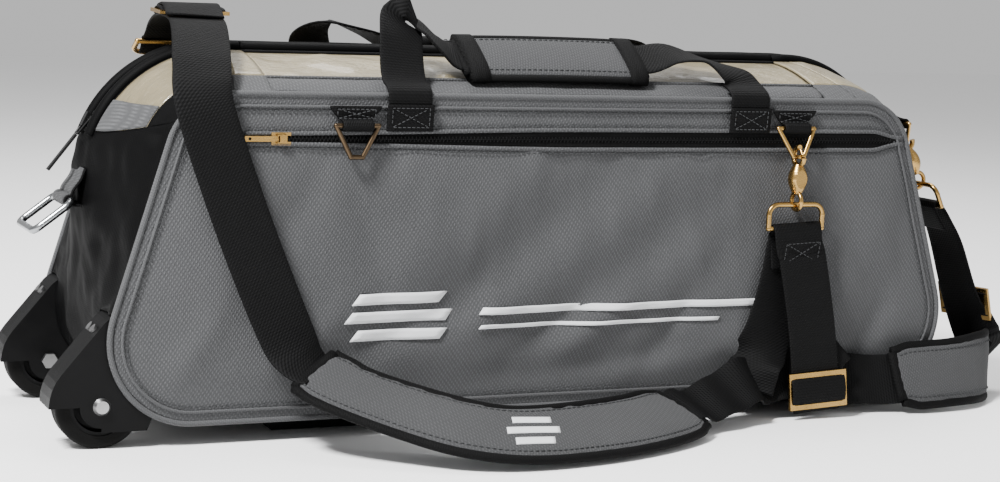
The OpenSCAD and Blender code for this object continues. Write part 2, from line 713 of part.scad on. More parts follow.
module main_zip_slider_left() color(black) mirror([1, 0, 0]) main_slider();
module main_zip_slider_right() color(black) main_slider();
module main_zip_pull_left() color(black) mirror([1, 0, 0]) main_pull();
module main_zip_pull_right() color(black) main_pull();

base_board();
base_panel();
ball_seat_foam();
front_wall();
front_pocket_panel();
front_top_band();
back_wall();
left_end_panel();
right_end_panel();
left_top_cap();
right_top_cap();
seam_strips();
piping();
ball_dividers();
base_runners();
wheel_housing_front();
wheel_housing_rear();
housing_screws();
axle_bolts();
pocket_zip_tape();
handle_bases();
ring_tabs();
end_tab();
held_rings();
snap_hooks();
strap_loops();
strap_adjusters();
strap_left();
strap_middle();
strap_right();
strap_drop();
shoulder_pad_long();
shoulder_pad_short();
tyre_front();
hub_front();
bearing_front();
tyre_rear();
hub_rear();
bearing_rear();
lid_band_front();
window_front();
lid_zip_tape_front();
handle_front();
grip_front();
lid_band_rear();
window_rear();
lid_zip_tape_rear();
handle_rear();
grip_rear();
pocket_zip_slider();
pocket_zip_pull();
main_zip_slider_left();
main_zip_pull_left();
main_zip_slider_right();
main_zip_pull_right();
free_ring();
end_grab_ring();
hook_gate_drop();
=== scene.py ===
"""Rolling three-ball bowling bag: its looks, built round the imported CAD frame, in metres."""
import math

import bmesh
import bpy
from mathutils import Matrix, Vector, noise
from mathutils.bvhtree import BVHTree


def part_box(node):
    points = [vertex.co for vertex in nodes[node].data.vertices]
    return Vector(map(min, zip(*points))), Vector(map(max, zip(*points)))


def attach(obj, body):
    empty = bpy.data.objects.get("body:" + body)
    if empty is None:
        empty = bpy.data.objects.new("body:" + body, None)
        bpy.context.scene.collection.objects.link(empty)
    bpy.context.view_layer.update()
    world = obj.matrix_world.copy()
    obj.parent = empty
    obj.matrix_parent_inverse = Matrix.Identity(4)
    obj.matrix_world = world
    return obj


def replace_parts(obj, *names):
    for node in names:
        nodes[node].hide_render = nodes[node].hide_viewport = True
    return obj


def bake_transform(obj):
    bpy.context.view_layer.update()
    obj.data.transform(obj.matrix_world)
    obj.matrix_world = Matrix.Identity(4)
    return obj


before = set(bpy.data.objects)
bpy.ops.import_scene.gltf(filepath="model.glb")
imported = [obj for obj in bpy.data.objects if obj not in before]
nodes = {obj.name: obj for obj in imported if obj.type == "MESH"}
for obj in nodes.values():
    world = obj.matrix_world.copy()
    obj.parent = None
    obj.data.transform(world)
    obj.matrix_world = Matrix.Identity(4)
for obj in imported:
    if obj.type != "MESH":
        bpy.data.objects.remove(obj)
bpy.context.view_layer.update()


# ------------ camera

CAM_AZIMUTH = -0.4205
CAM_HEIGHT = 0.1247
CAM_ROLL = 0.0371
CAM_DISTANCE = 1.8254
CAM_LENS = 73.5
CAM_TARGET = Vector((-0.005, 0.0, 0.142))


def link(thing):
    bpy.context.scene.collection.objects.link(thing)
    return thing


def make_camera():
    data = bpy.data.cameras.new("camera")
    data.lens = CAM_LENS
    data.sensor_width = 36
    camera = link(bpy.data.objects.new("camera", data))
    ce, se = math.cos(CAM_HEIGHT), math.sin(CAM_HEIGHT)
    back = Vector((math.sin(CAM_AZIMUTH) * ce, -math.cos(CAM_AZIMUTH) * ce, se))
    right = (-back).cross(Vector((0, 0, 1))).normalized()
    up = right.cross(-back)
    c, s = math.cos(CAM_ROLL), math.sin(CAM_ROLL)
    across = c * right + s * up
    upward = -s * right + c * up
    turn = Matrix((across, upward, back)).transposed().to_4x4()
    camera.matrix_world = Matrix.Translation(CAM_TARGET + back * CAM_DISTANCE) @ turn
    bpy.context.scene.camera = camera


make_camera()


# ------------ materials

def principled(name, color, rough, metallic=0.0, sheen=0.0, coat=0.0, specular=0.5):
    mat = bpy.data.materials.new(name)
    mat.use_nodes = True
    nt = mat.node_tree
    bsdf = nt.nodes["Principled BSDF"]
    bsdf.inputs["Base Color"].default_value = (*color, 1)
    bsdf.inputs["Roughness"].default_value = rough
    bsdf.inputs["Metallic"].default_value = metallic
    bsdf.inputs["Sheen Weight"].default_value = sheen
    bsdf.inputs["Specular IOR Level"].default_value = specular
    bsdf.inputs["Sheen Roughness"].default_value = 0.5
    bsdf.inputs["Coat Weight"].default_value = coat
    return mat, nt, bsdf


def node(nt, kind, **values):
    n = nt.nodes.new(kind)
    for key, value in values.items():
        if key in n.inputs:
            n.inputs[key].default_value = value
        else:
            setattr(n, key, value)
    return n


def coords(nt, source, scale=(1, 1, 1), turn=(0, 0, 0)):
    tex = node(nt, "ShaderNodeTexCoord")
    mapping = node(nt, "ShaderNodeMapping", Scale=scale, Rotation=turn)
    nt.links.new(tex.outputs[source], mapping.inputs["Vector"])
    return mapping.outputs["Vector"]


def wave(nt, vector, scale, direction="X", distortion=0.0):
    w = node(nt, "ShaderNodeTexWave", Scale=scale, Distortion=distortion)
    w.bands_direction = direction
    nt.links.new(vector, w.inputs["Vector"])
    return w.outputs["Fac"]


def maths(nt, operation, a, b):
    m = node(nt, "ShaderNodeMath", operation=operation)
    for socket, value in zip(m.inputs, (a, b)):
        if isinstance(value, (int, float)):
            socket.default_value = value
        else:
            nt.links.new(value, socket)
    return m.outputs[0]


def mul(nt, a, b):
    return maths(nt, "MULTIPLY", a, b)


def add(nt, a, b):
    return maths(nt, "ADD", a, b)


def ramp(nt, fac, stops):
    r = node(nt, "ShaderNodeValToRGB")
    elements = r.color_ramp.elements
    while len(elements) < len(stops):
        elements.new(0.5)
    for element, (at, color) in zip(elements, stops):
        element.position = at
        element.color = (*color, 1)
    nt.links.new(fac, r.inputs["Fac"])
    return r.outputs["Color"]


def bump(nt, bsdf, height, depth):
    b = node(nt, "ShaderNodeBump", Strength=1.0, Distance=depth)
    nt.links.new(height, b.inputs["Height"])
    nt.links.new(b.outputs["Normal"], bsdf.inputs["Normal"])


def shade(color, k):
    return tuple(c * k for c in color)


def tint(nt, bsdf, fac, color, low, high):
    """Base colour from a ramp; low and high are (position, brightness)."""
    colour = ramp(nt, fac, [(at, shade(color, k)) for at, k in (low, high)])
    nt.links.new(colour, bsdf.inputs["Base Color"])


def grain(nt, scale, detail=3.0, rough=0.55, stretch=(1, 1, 1)):
    """Noise fixed to the piece."""
    n = node(nt, "ShaderNodeTexNoise", Scale=scale, Detail=detail, Roughness=rough)
    nt.links.new(coords(nt, "Object", scale=stretch), n.inputs["Vector"])
    return n.outputs["Fac"]


def waves(pitch):
    """Scale of a wave texture whose bands repeat every pitch metres."""
    return 1 / 20 * 6.283 / pitch


MOTTLE = 0.3


def weave(name, color, pitch, depth, contrast, sheen, rough=0.85, slope=40, specular=0.3):
    """Twill: fine diagonal ribs broken by a crossing thread, with a soft mottle over it."""
    mat, nt, bsdf = principled(name, color, rough, sheen=sheen, specular=specular)
    ribs_at = coords(nt, "Object", turn=(math.radians(20), math.radians(slope), 0))
    cross_at = coords(nt, "Object", turn=(math.radians(-15), math.radians(slope - 72), 0))
    ribs = wave(nt, ribs_at, waves(pitch), distortion=1.2)
    threads = wave(nt, cross_at, waves(pitch * 0.8), distortion=1.2)
    cloth = mul(nt, ribs, threads)
    patches = grain(nt, 7.0, 5.0, 0.62)
    fuzz = grain(nt, 700.0, 2.0)
    tone = mul(nt, cloth, 1 - 2 * MOTTLE)
    for noise_fac in (patches, fuzz):
        tone = add(nt, tone, mul(nt, noise_fac, MOTTLE))
    tint(nt, bsdf, tone, color, (0.12, 1 - contrast), (0.72, 1 + contrast))
    bump(nt, bsdf, cloth, depth)
    return mat


def webbing_mat(name, color, pitch=0.0024, depth=0.0005):
    """Webbing: rows of small chevrons along the strap, from its own UV map in metres."""
    mat, nt, bsdf = principled(name, color, 0.7, specular=0.1)
    along = wave(nt, coords(nt, "UV"), waves(pitch), "Y")
    left = wave(nt, coords(nt, "UV", turn=(0, 0, math.radians(45))), waves(pitch), "Y")
    cloth = add(nt, mul(nt, along, 0.5), mul(nt, left, 0.5))
    wear = grain(nt, 60.0, 4.0)
    tone = add(nt, mul(nt, cloth, 0.6), mul(nt, wear, 0.4))
    tint(nt, bsdf, tone, color, (0.15, 0.5), (0.85, 1.9))
    bump(nt, bsdf, cloth, depth)
    return mat


SCRATCHES = 0.08


def metal(name, color, rough):
    mat, nt, bsdf = principled(name, color, rough, metallic=1.0)
    marks = grain(nt, 300.0, 5.0, 0.7, (1, 1, 5))
    roughness = add(nt, mul(nt, marks, SCRATCHES * 2), rough - SCRATCHES)
    nt.links.new(roughness, bsdf.inputs["Roughness"])
    tint(nt, bsdf, grain(nt, 45.0), color, (0.3, 0.78), (0.7, 1.12))
    bump(nt, bsdf, marks, 0.00006)
    return mat


def moulded(name, color, rough, fineness=1400.0, depth=0.00012, specular=0.2):
    mat, nt, bsdf = principled(name, color, rough, specular=specular)
    pebbles = grain(nt, fineness, 2.0)
    dust = grain(nt, 30.0, 5.0, 0.65)
    tint(nt, bsdf, dust, color, (0.35, 0.8), (0.75, 1.7))
    roughness = add(nt, mul(nt, dust, 0.25), rough - 0.12)
    nt.links.new(roughness, bsdf.inputs["Roughness"])
    bump(nt, bsdf, pebbles, depth)
    return mat


def vinyl(name, color):
    """Clear vinyl over a cream lining: a glossy coat, soft crinkles and a yellowed tone."""
    mat, nt, bsdf = principled(name, color, 0.34, coat=0.35, specular=0.3)
    bsdf.inputs["Coat Roughness"].default_value = 0.08
    creases = grain(nt, 42.0, 5.0, 0.6, (1, 2.2, 1))
    tint(nt, bsdf, grain(nt, 11.0), color, (0.3, 0.72), (0.7, 1.12))
    bump(nt, bsdf, creases, 0.004)
    return mat


GREY = (0.056, 0.0568, 0.0588)
BLACK = (0.0016, 0.0016, 0.0017)
MAT = {
    "twill": weave("twill_grey", GREY, 0.0030, 0.0004, 0.45, 0.04, specular=0.15),
    "pad": weave("twill_pad", shade(GREY, 0.72), 0.0026, 0.0004, 0.4, 0.04, specular=0.15),
    "nylon": weave("nylon_black", BLACK, 0.0016, 0.0001, 0.4, 0.0, 0.62, slope=80, specular=0.05),
    "piping": weave("piping_grey", shade(GREY, 1.05), 0.0020, 0.0003, 0.3, 0.05, slope=55,
                    specular=0.2),
    "binding": weave("binding_black", shade(BLACK, 0.9), 0.0018, 0.0003, 0.5, 0.0, 0.75,
                     specular=0.1),
    "lining": weave("lining_dark", (0.012, 0.012, 0.013), 0.002, 0.0003, 0.3, 0.05),
    "foam": moulded("foam_grey", (0.05, 0.053, 0.056), 0.9, 500, 0.0005),
    "web": webbing_mat("webbing_black", BLACK, 0.0024, 0.0004),
    "zip": webbing_mat("zip_tape", shade(BLACK, 0.85), 0.0015, 0.0003),
    "teeth": moulded("zip_teeth", (0.0025, 0.0025, 0.0026), 0.38, 2500, 0.00005),
    "plastic": moulded("plastic_black", (0.0018, 0.0018, 0.0019), 0.5, specular=0.1),
    "rubber": moulded("tyre_rubber", (0.0022, 0.0021, 0.002), 0.75, 900, 0.0002, specular=0.1),
    "brass": metal("brass", (0.42, 0.26, 0.085), 0.26),
    "bronze": metal("bronze", (0.08, 0.055, 0.033), 0.38),
    "nickel": metal("nickel", (0.33, 0.34, 0.35), 0.24),
    "zinc": metal("zinc", (0.3, 0.3, 0.3), 0.33),
    "satin": weave("satin_pale", (0.6, 0.61, 0.62), 0.0012, 0.0002, 0.12, 0.3, 0.5),
    "vinyl": vinyl("window_vinyl", (0.2, 0.168, 0.103)),
    "thread_dark": moulded("thread_grey", (0.028, 0.029, 0.030), 0.8, 3000, 0.0002),
}


# ------------ mesh tools

LENGTHWISE, DEPTHWISE, UP = Vector((1, 0, 0)), Vector((0, 1, 0)), Vector((0, 0, 1))
CLOTH = 0.0022


def lerp(a, b, t):
    return a + (b - a) * t


def smooth(t):
    t = min(max(t, 0.0), 1.0)
    return t * t * (3 - 2 * t)


def new_piece(name, verts, faces, mat, body="bag", uvs=None, flat=False):
    mesh = bpy.data.meshes.new(name)
    mesh.from_pydata([tuple(v) for v in verts], [], faces)
    if uvs:
        layer = mesh.uv_layers.new(name="UVMap")
        for loop in mesh.loops:
            layer.data[loop.index].uv = uvs[loop.vertex_index]
    mesh.materials.append(MAT[mat])
    piece = link(bpy.data.objects.new(name, mesh))
    if not flat:
        mesh.polygons.foreach_set("use_smooth", [True] * len(mesh.polygons))
    if body:
        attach(piece, body)
    return piece


def grid_faces(nu, nv):
    corners = [i * nv + j for i in range(nu - 1) for j in range(nv - 1)]
    return [(a, a + nv, a + nv + 1, a + 1) for a in corners]


def thicken(piece, thick):
    solid = piece.modifiers.new("thickness", "SOLIDIFY")
    solid.thickness = thick
    solid.offset = -1
    return piece


def surface(name, f, nu, nv, mat, body="bag", thick=CLOTH):
    """Sheet f(u, v), with u and v from 0 to 1; its thickness goes inwards, behind its normal."""
    verts = [f(i / (nu - 1), j / (nv - 1)) for i in range(nu) for j in range(nv)]
    uvs = [(i / (nu - 1), j / (nv - 1)) for i in range(nu) for j in range(nv)]
    return thicken(new_piece(name, verts, grid_faces(nu, nv), mat, body, uvs), thick)


def catmull(points, per):
    """Smooth curve through points, with per steps between neighbours."""
    pts = [Vector(p) for p in points]
    ends = [2 * pts[0] - pts[1], *pts, 2 * pts[-1] - pts[-2]]
    out = []
    for i in range(1, len(ends) - 2):
        p0, p1, p2, p3 = ends[i - 1:i + 3]
        for k in range(per):
            t = k / per
            out.append(0.5 * (2 * p1 + (p2 - p0) * t + (2 * p0 - 5 * p1 + 4 * p2 - p3) * t * t
                              + (3 * p1 - p0 - 3 * p2 + p3) * t ** 3))
    out.append(pts[-1])
    return out


def tangents(path, closed=False):
    n = len(path)
    out = []
    for i in range(n):
        a = path[(i - 1) % n] if closed else path[max(i - 1, 0)]
        b = path[(i + 1) % n] if closed else path[min(i + 1, n - 1)]
        out.append((b - a).normalized())
    return out


def frames(path, widths, closed=False):
    """Tangent, width direction and face direction at each point of a strap."""
    out = []
    for t, w in zip(tangents(path, closed), widths):
        across = (w - t * w.dot(t)).normalized()
        out.append((t, across, t.cross(across)))
    return out


def lengths(path):
    total = [0.0]
    for a, b in zip(path, path[1:]):
        total.append(total[-1] + (b - a).length)
    return total


def sweep(name, path, across, profile, mat, body="bag", closed=False, tape=None):
    """Sweeps a closed profile of (width, height) points along a path."""
    dirs = frames(path, across, closed)
    run = lengths(path)
    verts, uvs = [], []
    for i, (p, (_, w, n)) in enumerate(zip(path, dirs)):
        for x, z in profile:
            k = tape(run[i] / run[-1]) if tape else 1.0
            verts.append(p + w * x * k + n * z)
            uvs.append((x, run[i]))
    m = len(profile)
    faces = []
    for i in range(len(path) if closed else len(path) - 1):
        a, b = i * m, ((i + 1) % len(path)) * m
        for j in range(m):
            k = (j + 1) % m
            faces.append((a + j, a + k, b + k, b + j))
    if not closed:
        faces.append(tuple(reversed(range(m))))
        last = (len(path) - 1) * m
        faces.append(tuple(last + j for j in range(m)))
    return new_piece(name, verts, faces, mat, body, uvs)


def strap_profile(width, thick):
    """Flat webbing with rounded selvages."""
    h, t = width / 2, thick / 2
    xs = [lerp(-h + t, h - t, i / 10) for i in range(11)]
    low = [(x, -t) for x in xs]
    high = [(x, t) for x in reversed(xs)]
    return low + [(h - t * 0.3, -t * 0.7), (h, 0), (h - t * 0.3, t * 0.7)] + high + [
        (-h + t * 0.3, t * 0.7), (-h, 0), (-h + t * 0.3, -t * 0.7)]


def round_profile(r, n=10, flat=(1.0, 1.0)):
    angles = [2 * math.pi * k / n for k in range(n)]
    return [(flat[0] * (r * math.cos(a)), flat[1] * (r * math.sin(a))) for a in angles]


def mm(*values):
    return Vector(values) / 1000


def strap_path(stations, per=8):
    path = catmull([mm(*p) for p, _ in stations], per)
    widths = catmull([Vector(w).normalized() for _, w in stations], per)
    return path, widths


def webbing(name, stations, width, body="bag", per=8, ripple=0.0):
    path, widths = strap_path(stations, per)
    if ripple:
        dirs = frames(path, widths)
        run = lengths(path)
        path = [p + d[2] * ripple * (math.sin(s * 150) + 1.2 * math.sin(s * 83 + 1)) *
                smooth(s / 0.03) * smooth((run[-1] - s) / 0.12) for p, d, s in zip(path, dirs, run)]
    return sweep(name, path, widths, strap_profile(width, CLOTH), "web", body)


def join(name, pieces):
    """Joins meshes of one body and material into one piece."""
    bm = bmesh.new()
    for piece in pieces:
        bm.from_mesh(piece.data)
    mesh = pieces[0].data.copy()
    bm.to_mesh(mesh)
    bm.free()
    keep = pieces[0]
    keep.data = mesh
    keep.name = name
    for piece in pieces[1:]:
        bpy.data.objects.remove(piece)
    return keep


def paint(mat, *names):
    """Gives carried-over CAD nodes a material."""
    for name in names:
        piece = nodes[name]
        piece.data.materials.clear()
        piece.data.materials.append(MAT[mat])


# ------------ the bag's form

HALF_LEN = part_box("right_end_panel")[1][0]
HALF_DEPTH = -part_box("front_pocket_panel")[0][1]
SEAM_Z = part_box("front_top_band")[1][2]
CREST_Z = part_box("right_top_cap")[1][2]
FLOOR_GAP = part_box("base_panel")[0][2]
LID_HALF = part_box("lid_band_front")[1][0]
BOTTOM_R = 0.065
TOP_R = 0.050
CREST_R = 0.110
LEAN = math.radians(17)
WALL = 0.003
LOFT_HALF = HALF_DEPTH - WALL
HINGE_Y = 0.1105
TAPE_Y = 0.022
WINDOW_Y = 0.090

BOTTOM_C = (HALF_LEN - BOTTOM_R, FLOOR_GAP + BOTTOM_R)
TOP_CZ = SEAM_Z - TOP_R
TOP_CX = (BOTTOM_C[0] + (BOTTOM_R - TOP_R) * math.cos(LEAN)
          - (TOP_CZ - BOTTOM_C[1] + (TOP_R - BOTTOM_R) * math.sin(LEAN)) * math.tan(LEAN))
CREST_C = (HALF_LEN - CREST_R, CREST_Z - CREST_R)


def arc(c, r, a0, a1, n):
    angles = [lerp(a0, a1, i / n) for i in range(n + 1)]
    return [(c[0] + r * math.cos(a), c[1] + r * math.sin(a)) for a in angles]


ARC_LOW, SIDE, ARC_HIGH = 24, 12, 36
ZIP_END = ARC_LOW + SIDE + ARC_HIGH // 4
LAST = ARC_LOW + SIDE + ARC_HIGH


def end_line(high_c, high_r, a):
    low = arc(BOTTOM_C, BOTTOM_R, -math.pi / 2, a, ARC_LOW)
    high = arc(high_c, high_r, a, math.pi / 2, ARC_HIGH)
    p, q = Vector(low[-1]), Vector(high[0])
    return [*map(Vector, low), *[p.lerp(q, i / SIDE) for i in range(1, SIDE)], *map(Vector, high)]


SKIN = end_line((TOP_CX, TOP_CZ), TOP_R, LEAN)
CREST = end_line(CREST_C, CREST_R, 0)


def bulge(y):
    return max(0.0, 1 - (y / LOFT_HALF) ** 2)


def roof(y):
    return SEAM_Z + (CREST_Z - SEAM_Z) * bulge(y)


def section(i, y):
    """Point i of the end's line, at depth y: (distance from the middle, height)."""
    k = min(int(i), LAST - 1)
    t = i - k
    return SKIN[k].lerp(SKIN[k + 1], t).lerp(CREST[k].lerp(CREST[k + 1], t), bulge(y))


OUTLINE_STEP = 0.006


def outline(grow):
    """Whole outline of the front skin as a closed list of (x, z)."""
    right = []
    for k, p in enumerate(SKIN):
        a = SKIN[max(k - 1, 0)]
        b = SKIN[min(k + 1, len(SKIN) - 1)]
        d = (b - a).normalized()
        right.append((p.x + d.y * grow, p.y - d.x * grow))
    left = [(-x, z) for x, z in reversed(right)]
    top = int(2 * right[-1][0] / OUTLINE_STEP)
    low = int(2 * right[0][0] / OUTLINE_STEP)
    over = [(lerp(right[-1][0], left[0][0], i / top), right[-1][1]) for i in range(1, top)]
    under = [(lerp(left[-1][0], right[0][0], i / low), right[0][1]) for i in range(1, low)]
    return right + over + left + under


def fold(x, z, x0, z0, x1, z1, width, height):
    """Height at (x, z) of a soft crease from one point to another."""
    dx, dz = x1 - x0, z1 - z0
    size = dx * dx + dz * dz
    t = ((x - x0) * dx + (z - z0) * dz) / size
    off = abs((x - x0) * dz - (z - z0) * dx) / math.sqrt(size)
    ends = smooth((t + 0.25) / 0.35) * smooth((1.25 - t) / 0.35)
    return height * 1.25 * math.exp(-(off / (0.8 * width)) ** 1.6) * ends


# Creases of the front skin: from, to, width, height in millimetres; minus is a hollow
FRONT_FOLDS = [
    ((-190, 215), (-160, 120), 15, -3.0), ((-150, 228), (-60, 120), 15, 3.2),
    ((-95, 110), (40, 215), 15, -4.2), ((-70, 95), (95, 205), 13, 4.2),
    ((-30, 72), (150, 190), 14, -4.4), ((10, 70), (175, 178), 13, 3.8),
    ((60, 225), (150, 150), 13, -2.8), ((-120, 150), (-20, 225), 12, 3.2),
    ((90, 60), (215, 225), 14, -3.4), ((-250, 60), (-110, 170), 17, 3.2),
    ((-215, 50), (-60, 130), 14, -3.0), ((-290, 110), (-215, 215), 15, -2.8),
    ((250, 60), (330, 200), 17, 3.4), ((290, 40), (345, 130), 13, -3.0),
    ((250, 210), (310, 120), 15, -2.8), ((-330, 60), (-260, 150), 15, 2.8),
    ((-60, 45), (130, 62), 12, -3.2), ((60, 40), (260, 95), 13, 2.8),
    ((120, 235), (190, 175), 10, 2.4), ((-30, 232), (40, 170), 11, -2.6),
]


def edge_fade(x, z, reach):
    """0 at the outline of the front skin, 1 once reach inside it."""
    side = HALF_LEN - abs(x) - max(0.0, z - 0.1) * math.tan(LEAN)
    low = z - FLOOR_GAP
    corner_x = abs(x) - BOTTOM_C[0]
    if corner_x > 0 and z < BOTTOM_C[1]:
        low = BOTTOM_R - math.hypot(corner_x, BOTTOM_C[1] - z)
        side = low
    return smooth(min(side, low, SEAM_Z - z) / reach)


SKIN_FILL = 0.0028
PUFF_RANGE = (-0.0024, 0.0070)


def skin_puff(x, z, folds):
    """How far the padded skin stands out; the front is pinched along its zip."""
    puff = SKIN_FILL * edge_fade(x, z, 0.05)
    for (x0, z0), (x1, z1), width, height in folds:
        puff += fold(x, z, x0 / 1000, z0 / 1000, x1 / 1000, z1 / 1000, width / 1000,
                     height / 1000) * edge_fade(x, z, 0.03)
    puff += 0.0011 * noise.noise(Vector((x * 22, z * 22, 3.1))) * edge_fade(x, z, 0.02)
    if folds is FRONT_FOLDS:
        pinch = smooth((x + 0.30) / 0.03) * smooth((0.35 - x) / 0.03)
        puff *= 1 - 0.9 * pinch * math.exp(-((z - 0.243) / 0.012) ** 2)
    return min(max(puff, PUFF_RANGE[0]), PUFF_RANGE[1])


ROWS = [SKIN[k] for k in range(0, LAST + 1, 2)]


def subdivided(piece):
    mod = piece.modifiers.new("smooth", "SUBSURF")
    mod.levels = 1
    mod.render_levels = 1
    return piece


def skin_sheet(name, depth_sign, folds):
    """Front or back skin: rows follow the outline, and the cloth stands out between its seams."""
    columns = 150
    verts = []
    for row in ROWS:
        for j in range(columns + 1):
            s = 2 * j / columns - 1
            x = row.x * s
            puff = skin_puff(x, row.y, folds)
            verts.append((x, depth_sign * (HALF_DEPTH - 0.0005 + puff), row.y))
    faces = grid_faces(len(ROWS), columns + 1)
    if depth_sign < 0:
        faces = [tuple(reversed(f)) for f in faces]
    return subdivided(thicken(new_piece(name, verts, faces, "twill"), CLOTH))


def front_y(x, z, proud=0.0):
    return -(HALF_DEPTH + skin_puff(x, z, FRONT_FOLDS) + proud)


front_skin = skin_sheet("front_skin", -1, FRONT_FOLDS)
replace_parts(front_skin, "front_pocket_panel", "front_top_band")

BACK_FOLDS = [((x, z), (x + 110, z + 90), 16, h) for x, z, h in [
    (-300, 60, 2.4), (-220, 120, -2.6), (-130, 70, 2.6), (-60, 130, -2.4),
    (30, 60, 2.8), (100, 120, -2.4), (190, 70, 2.2), (240, 130, -2.0)]]
back_skin = skin_sheet("back_skin", 1, BACK_FOLDS)
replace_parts(back_skin, "back_wall")


def outline_welt(depth_sign):
    path = [Vector((x, depth_sign * (HALF_DEPTH - 0.0012), z)) for x, z in outline(0.0020)]
    return sweep("welt", path, [DEPTHWISE] * len(path), round_profile(0.0024), "piping",
                 closed=True)


piping = join("piping_welts", [outline_welt(s) for s in (-1, 1)])
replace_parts(piping, "piping")


def stitches(name, points, normals, body="bag", long=0.0032, gap=0.0018, r=0.00042):
    """Row of short threads along a line of points, each sunk at its ends."""
    run = lengths(points)
    verts, faces = [], []
    s = gap

    def at(d):
        k = next((i for i in range(1, len(run)) if run[i] >= d), len(run) - 1)
        t = (d - run[k - 1]) / max(run[k] - run[k - 1], 1e-9)
        return points[k - 1].lerp(points[k], t), normals[k - 1].lerp(normals[k], t).normalized()

    while s + long < run[-1]:
        base = len(verts)
        for k in range(4):
            t = k / 3
            p, n = at(s + long * t)
            q, _ = at(min(s + long * t + 0.0005, run[-1]))
            side = n.cross((q - p).normalized()) if (q - p).length > 0 else n.orthogonal()
            lift = r * (1.1 * math.sin(math.pi * t) + 0.15)
            for c in range(5):
                a = 2 * math.pi * c / 5
                verts.append(p + n * (lift + r * math.sin(a)) + side * r * 1.3 * math.cos(a))
        for k in range(3):
            for c in range(5):
                d = (c + 1) % 5
                faces.append((base + 5 * k + c, base + 5 * k + d, base + 5 * k + 5 + d,
                              base + 5 * k + 5 + c))
        faces.append(tuple(base + c for c in reversed(range(5))))
        faces.append(tuple(base + 15 + c for c in range(5)))
        s += long + gap
    return new_piece(name, verts, faces, "thread_dark", body)


def skin_line(inset, proud):
    return [Vector((x, front_y(x, z, proud), z)) for x, z in outline(-inset)]


# Seam inside the front piping: a second, thinner welt and its row of stitches
seam_path = skin_line(0.0075, 0.0002)
sweep("front_seam_welt", seam_path, [DEPTHWISE] * len(seam_path), round_profile(0.0013, 8),
      "piping", closed=True)
seam_loop = skin_line(0.011, 0.0004)
seam_loop.append(seam_loop[0].copy())
stitches("front_seam_stitches", seam_loop, [-DEPTHWISE] * len(seam_loop))


# ------------ ends and caps

def crumple(p, seed, size=0.0030, scale=26.0):
    v = Vector((p[0] * scale, p[1] * scale, p[2] * scale + seed))
    return size * (noise.noise(v) + 0.5 * noise.noise(v * 2.3))


def outwards(piece, flip):
    if flip:
        piece.data.flip_normals()
    return piece


def end_piece(name, side, i0, i1, y0, y1, mat, nu, nv, seed, out=0.0, rough=0.0030, fade=0.012):
    """Strip of the padded end between two points of its line and two depths."""
    def f(u, v):
        i, y = lerp(i0, i1, u), lerp(y0, y1, v)
        p = section(i, y)
        q0, q1 = section(max(i - 1, 0), y), section(min(i + 1, LAST), y)
        along = (q1 - q0).normalized()
        n = Vector((along.y, -along.x))
        edge = smooth(min(v, 1 - v) * abs(y1 - y0) / fade) * smooth(min(u, 1 - u) * 14)
        lift = out + crumple((p.x, y, p.y), seed, rough) * edge
        p = p + n * lift
        return Vector((side * p.x, y, p.y))

    return outwards(surface(name, f, nu, nv, mat), side < 0)


WELL_SLACK = 0.0012


def cut_wells(piece):
    """Opens a piece round the wheel housings with boolean copies of their outer blocks."""
    for y in (-1, 1):
        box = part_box("wheel_housing_front" if y < 0 else "wheel_housing_rear")
        cutter = housing_solid("well_cutter", box[0][1] - WELL_SLACK, box[1][1] + WELL_SLACK,
                               WELL_SLACK)
        mod = piece.modifiers.new("well", "BOOLEAN")
        mod.object = cutter
        mod.solver = "EXACT"
        mod.operation = "DIFFERENCE"
        apply_modifiers(piece)
        bpy.data.objects.remove(cutter)


def apply_modifiers(piece):
    bpy.context.view_layer.update()
    graph = bpy.context.evaluated_depsgraph_get()
    mesh = bpy.data.meshes.new_from_object(piece.evaluated_get(graph))
    piece.modifiers.clear()
    piece.data = mesh
    return piece


AXLE = (-0.389, 0.0345)
HOUSING_TOP = (-0.374, 0.088)
HOUSING_R = 0.041
HOUSING_TOP_R = 0.018


def capsule(r0, r1):
    c0, c1 = Vector(AXLE), Vector(HOUSING_TOP)
    v = c1 - c0
    along = math.atan2(v.y, v.x)
    spread = math.acos((r0 - r1) / v.length)
    return (arc(c1, r1, along - spread, along + spread, 12)
            + arc(c0, r0, along + spread, along + 2 * math.pi - spread, 36))


def housing_solid(name, y0, y1, grow):
    line = capsule(HOUSING_R + grow, HOUSING_TOP_R + grow)
    n = len(line)
    verts = [(x, y, z) for y in (y0, y1) for x, z in line]
    faces = [tuple(range(n)), tuple(reversed(range(n, 2 * n)))]
    faces += [(i, i + n, (i + 1) % n + n, (i + 1) % n) for i in range(n)]
    mesh = bpy.data.meshes.new(name)
    mesh.from_pydata(verts, [], faces)
    mesh.validate()
    piece = link(bpy.data.objects.new(name, mesh))
    bm = bmesh.new()
    bm.from_mesh(mesh)
    bmesh.ops.recalc_face_normals(bm, faces=bm.faces)
    bm.to_mesh(mesh)
    bm.free()
    return piece


for side, word, seed, rough in ((-1, "left", 2.0, 0.0042), (1, "right", 7.0, 0.0040)):
    end_cloth = end_piece(f"{word}_end_cloth", side, 0, ZIP_END, -LOFT_HALF, LOFT_HALF, "nylon",
                          60, 70, seed, rough=rough)
    if side < 0:
        cut_wells(end_cloth)
    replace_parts(end_cloth, f"{word}_end_panel")

CAP_ZONES = [(-LOFT_HALF, -WINDOW_Y), (-WINDOW_Y, -TAPE_Y), (-TAPE_Y, TAPE_Y),
             (TAPE_Y, WINDOW_Y), (WINDOW_Y, LOFT_HALF)]
CAP_MATS = ["twill", "vinyl", "zip", "vinyl", "twill"]


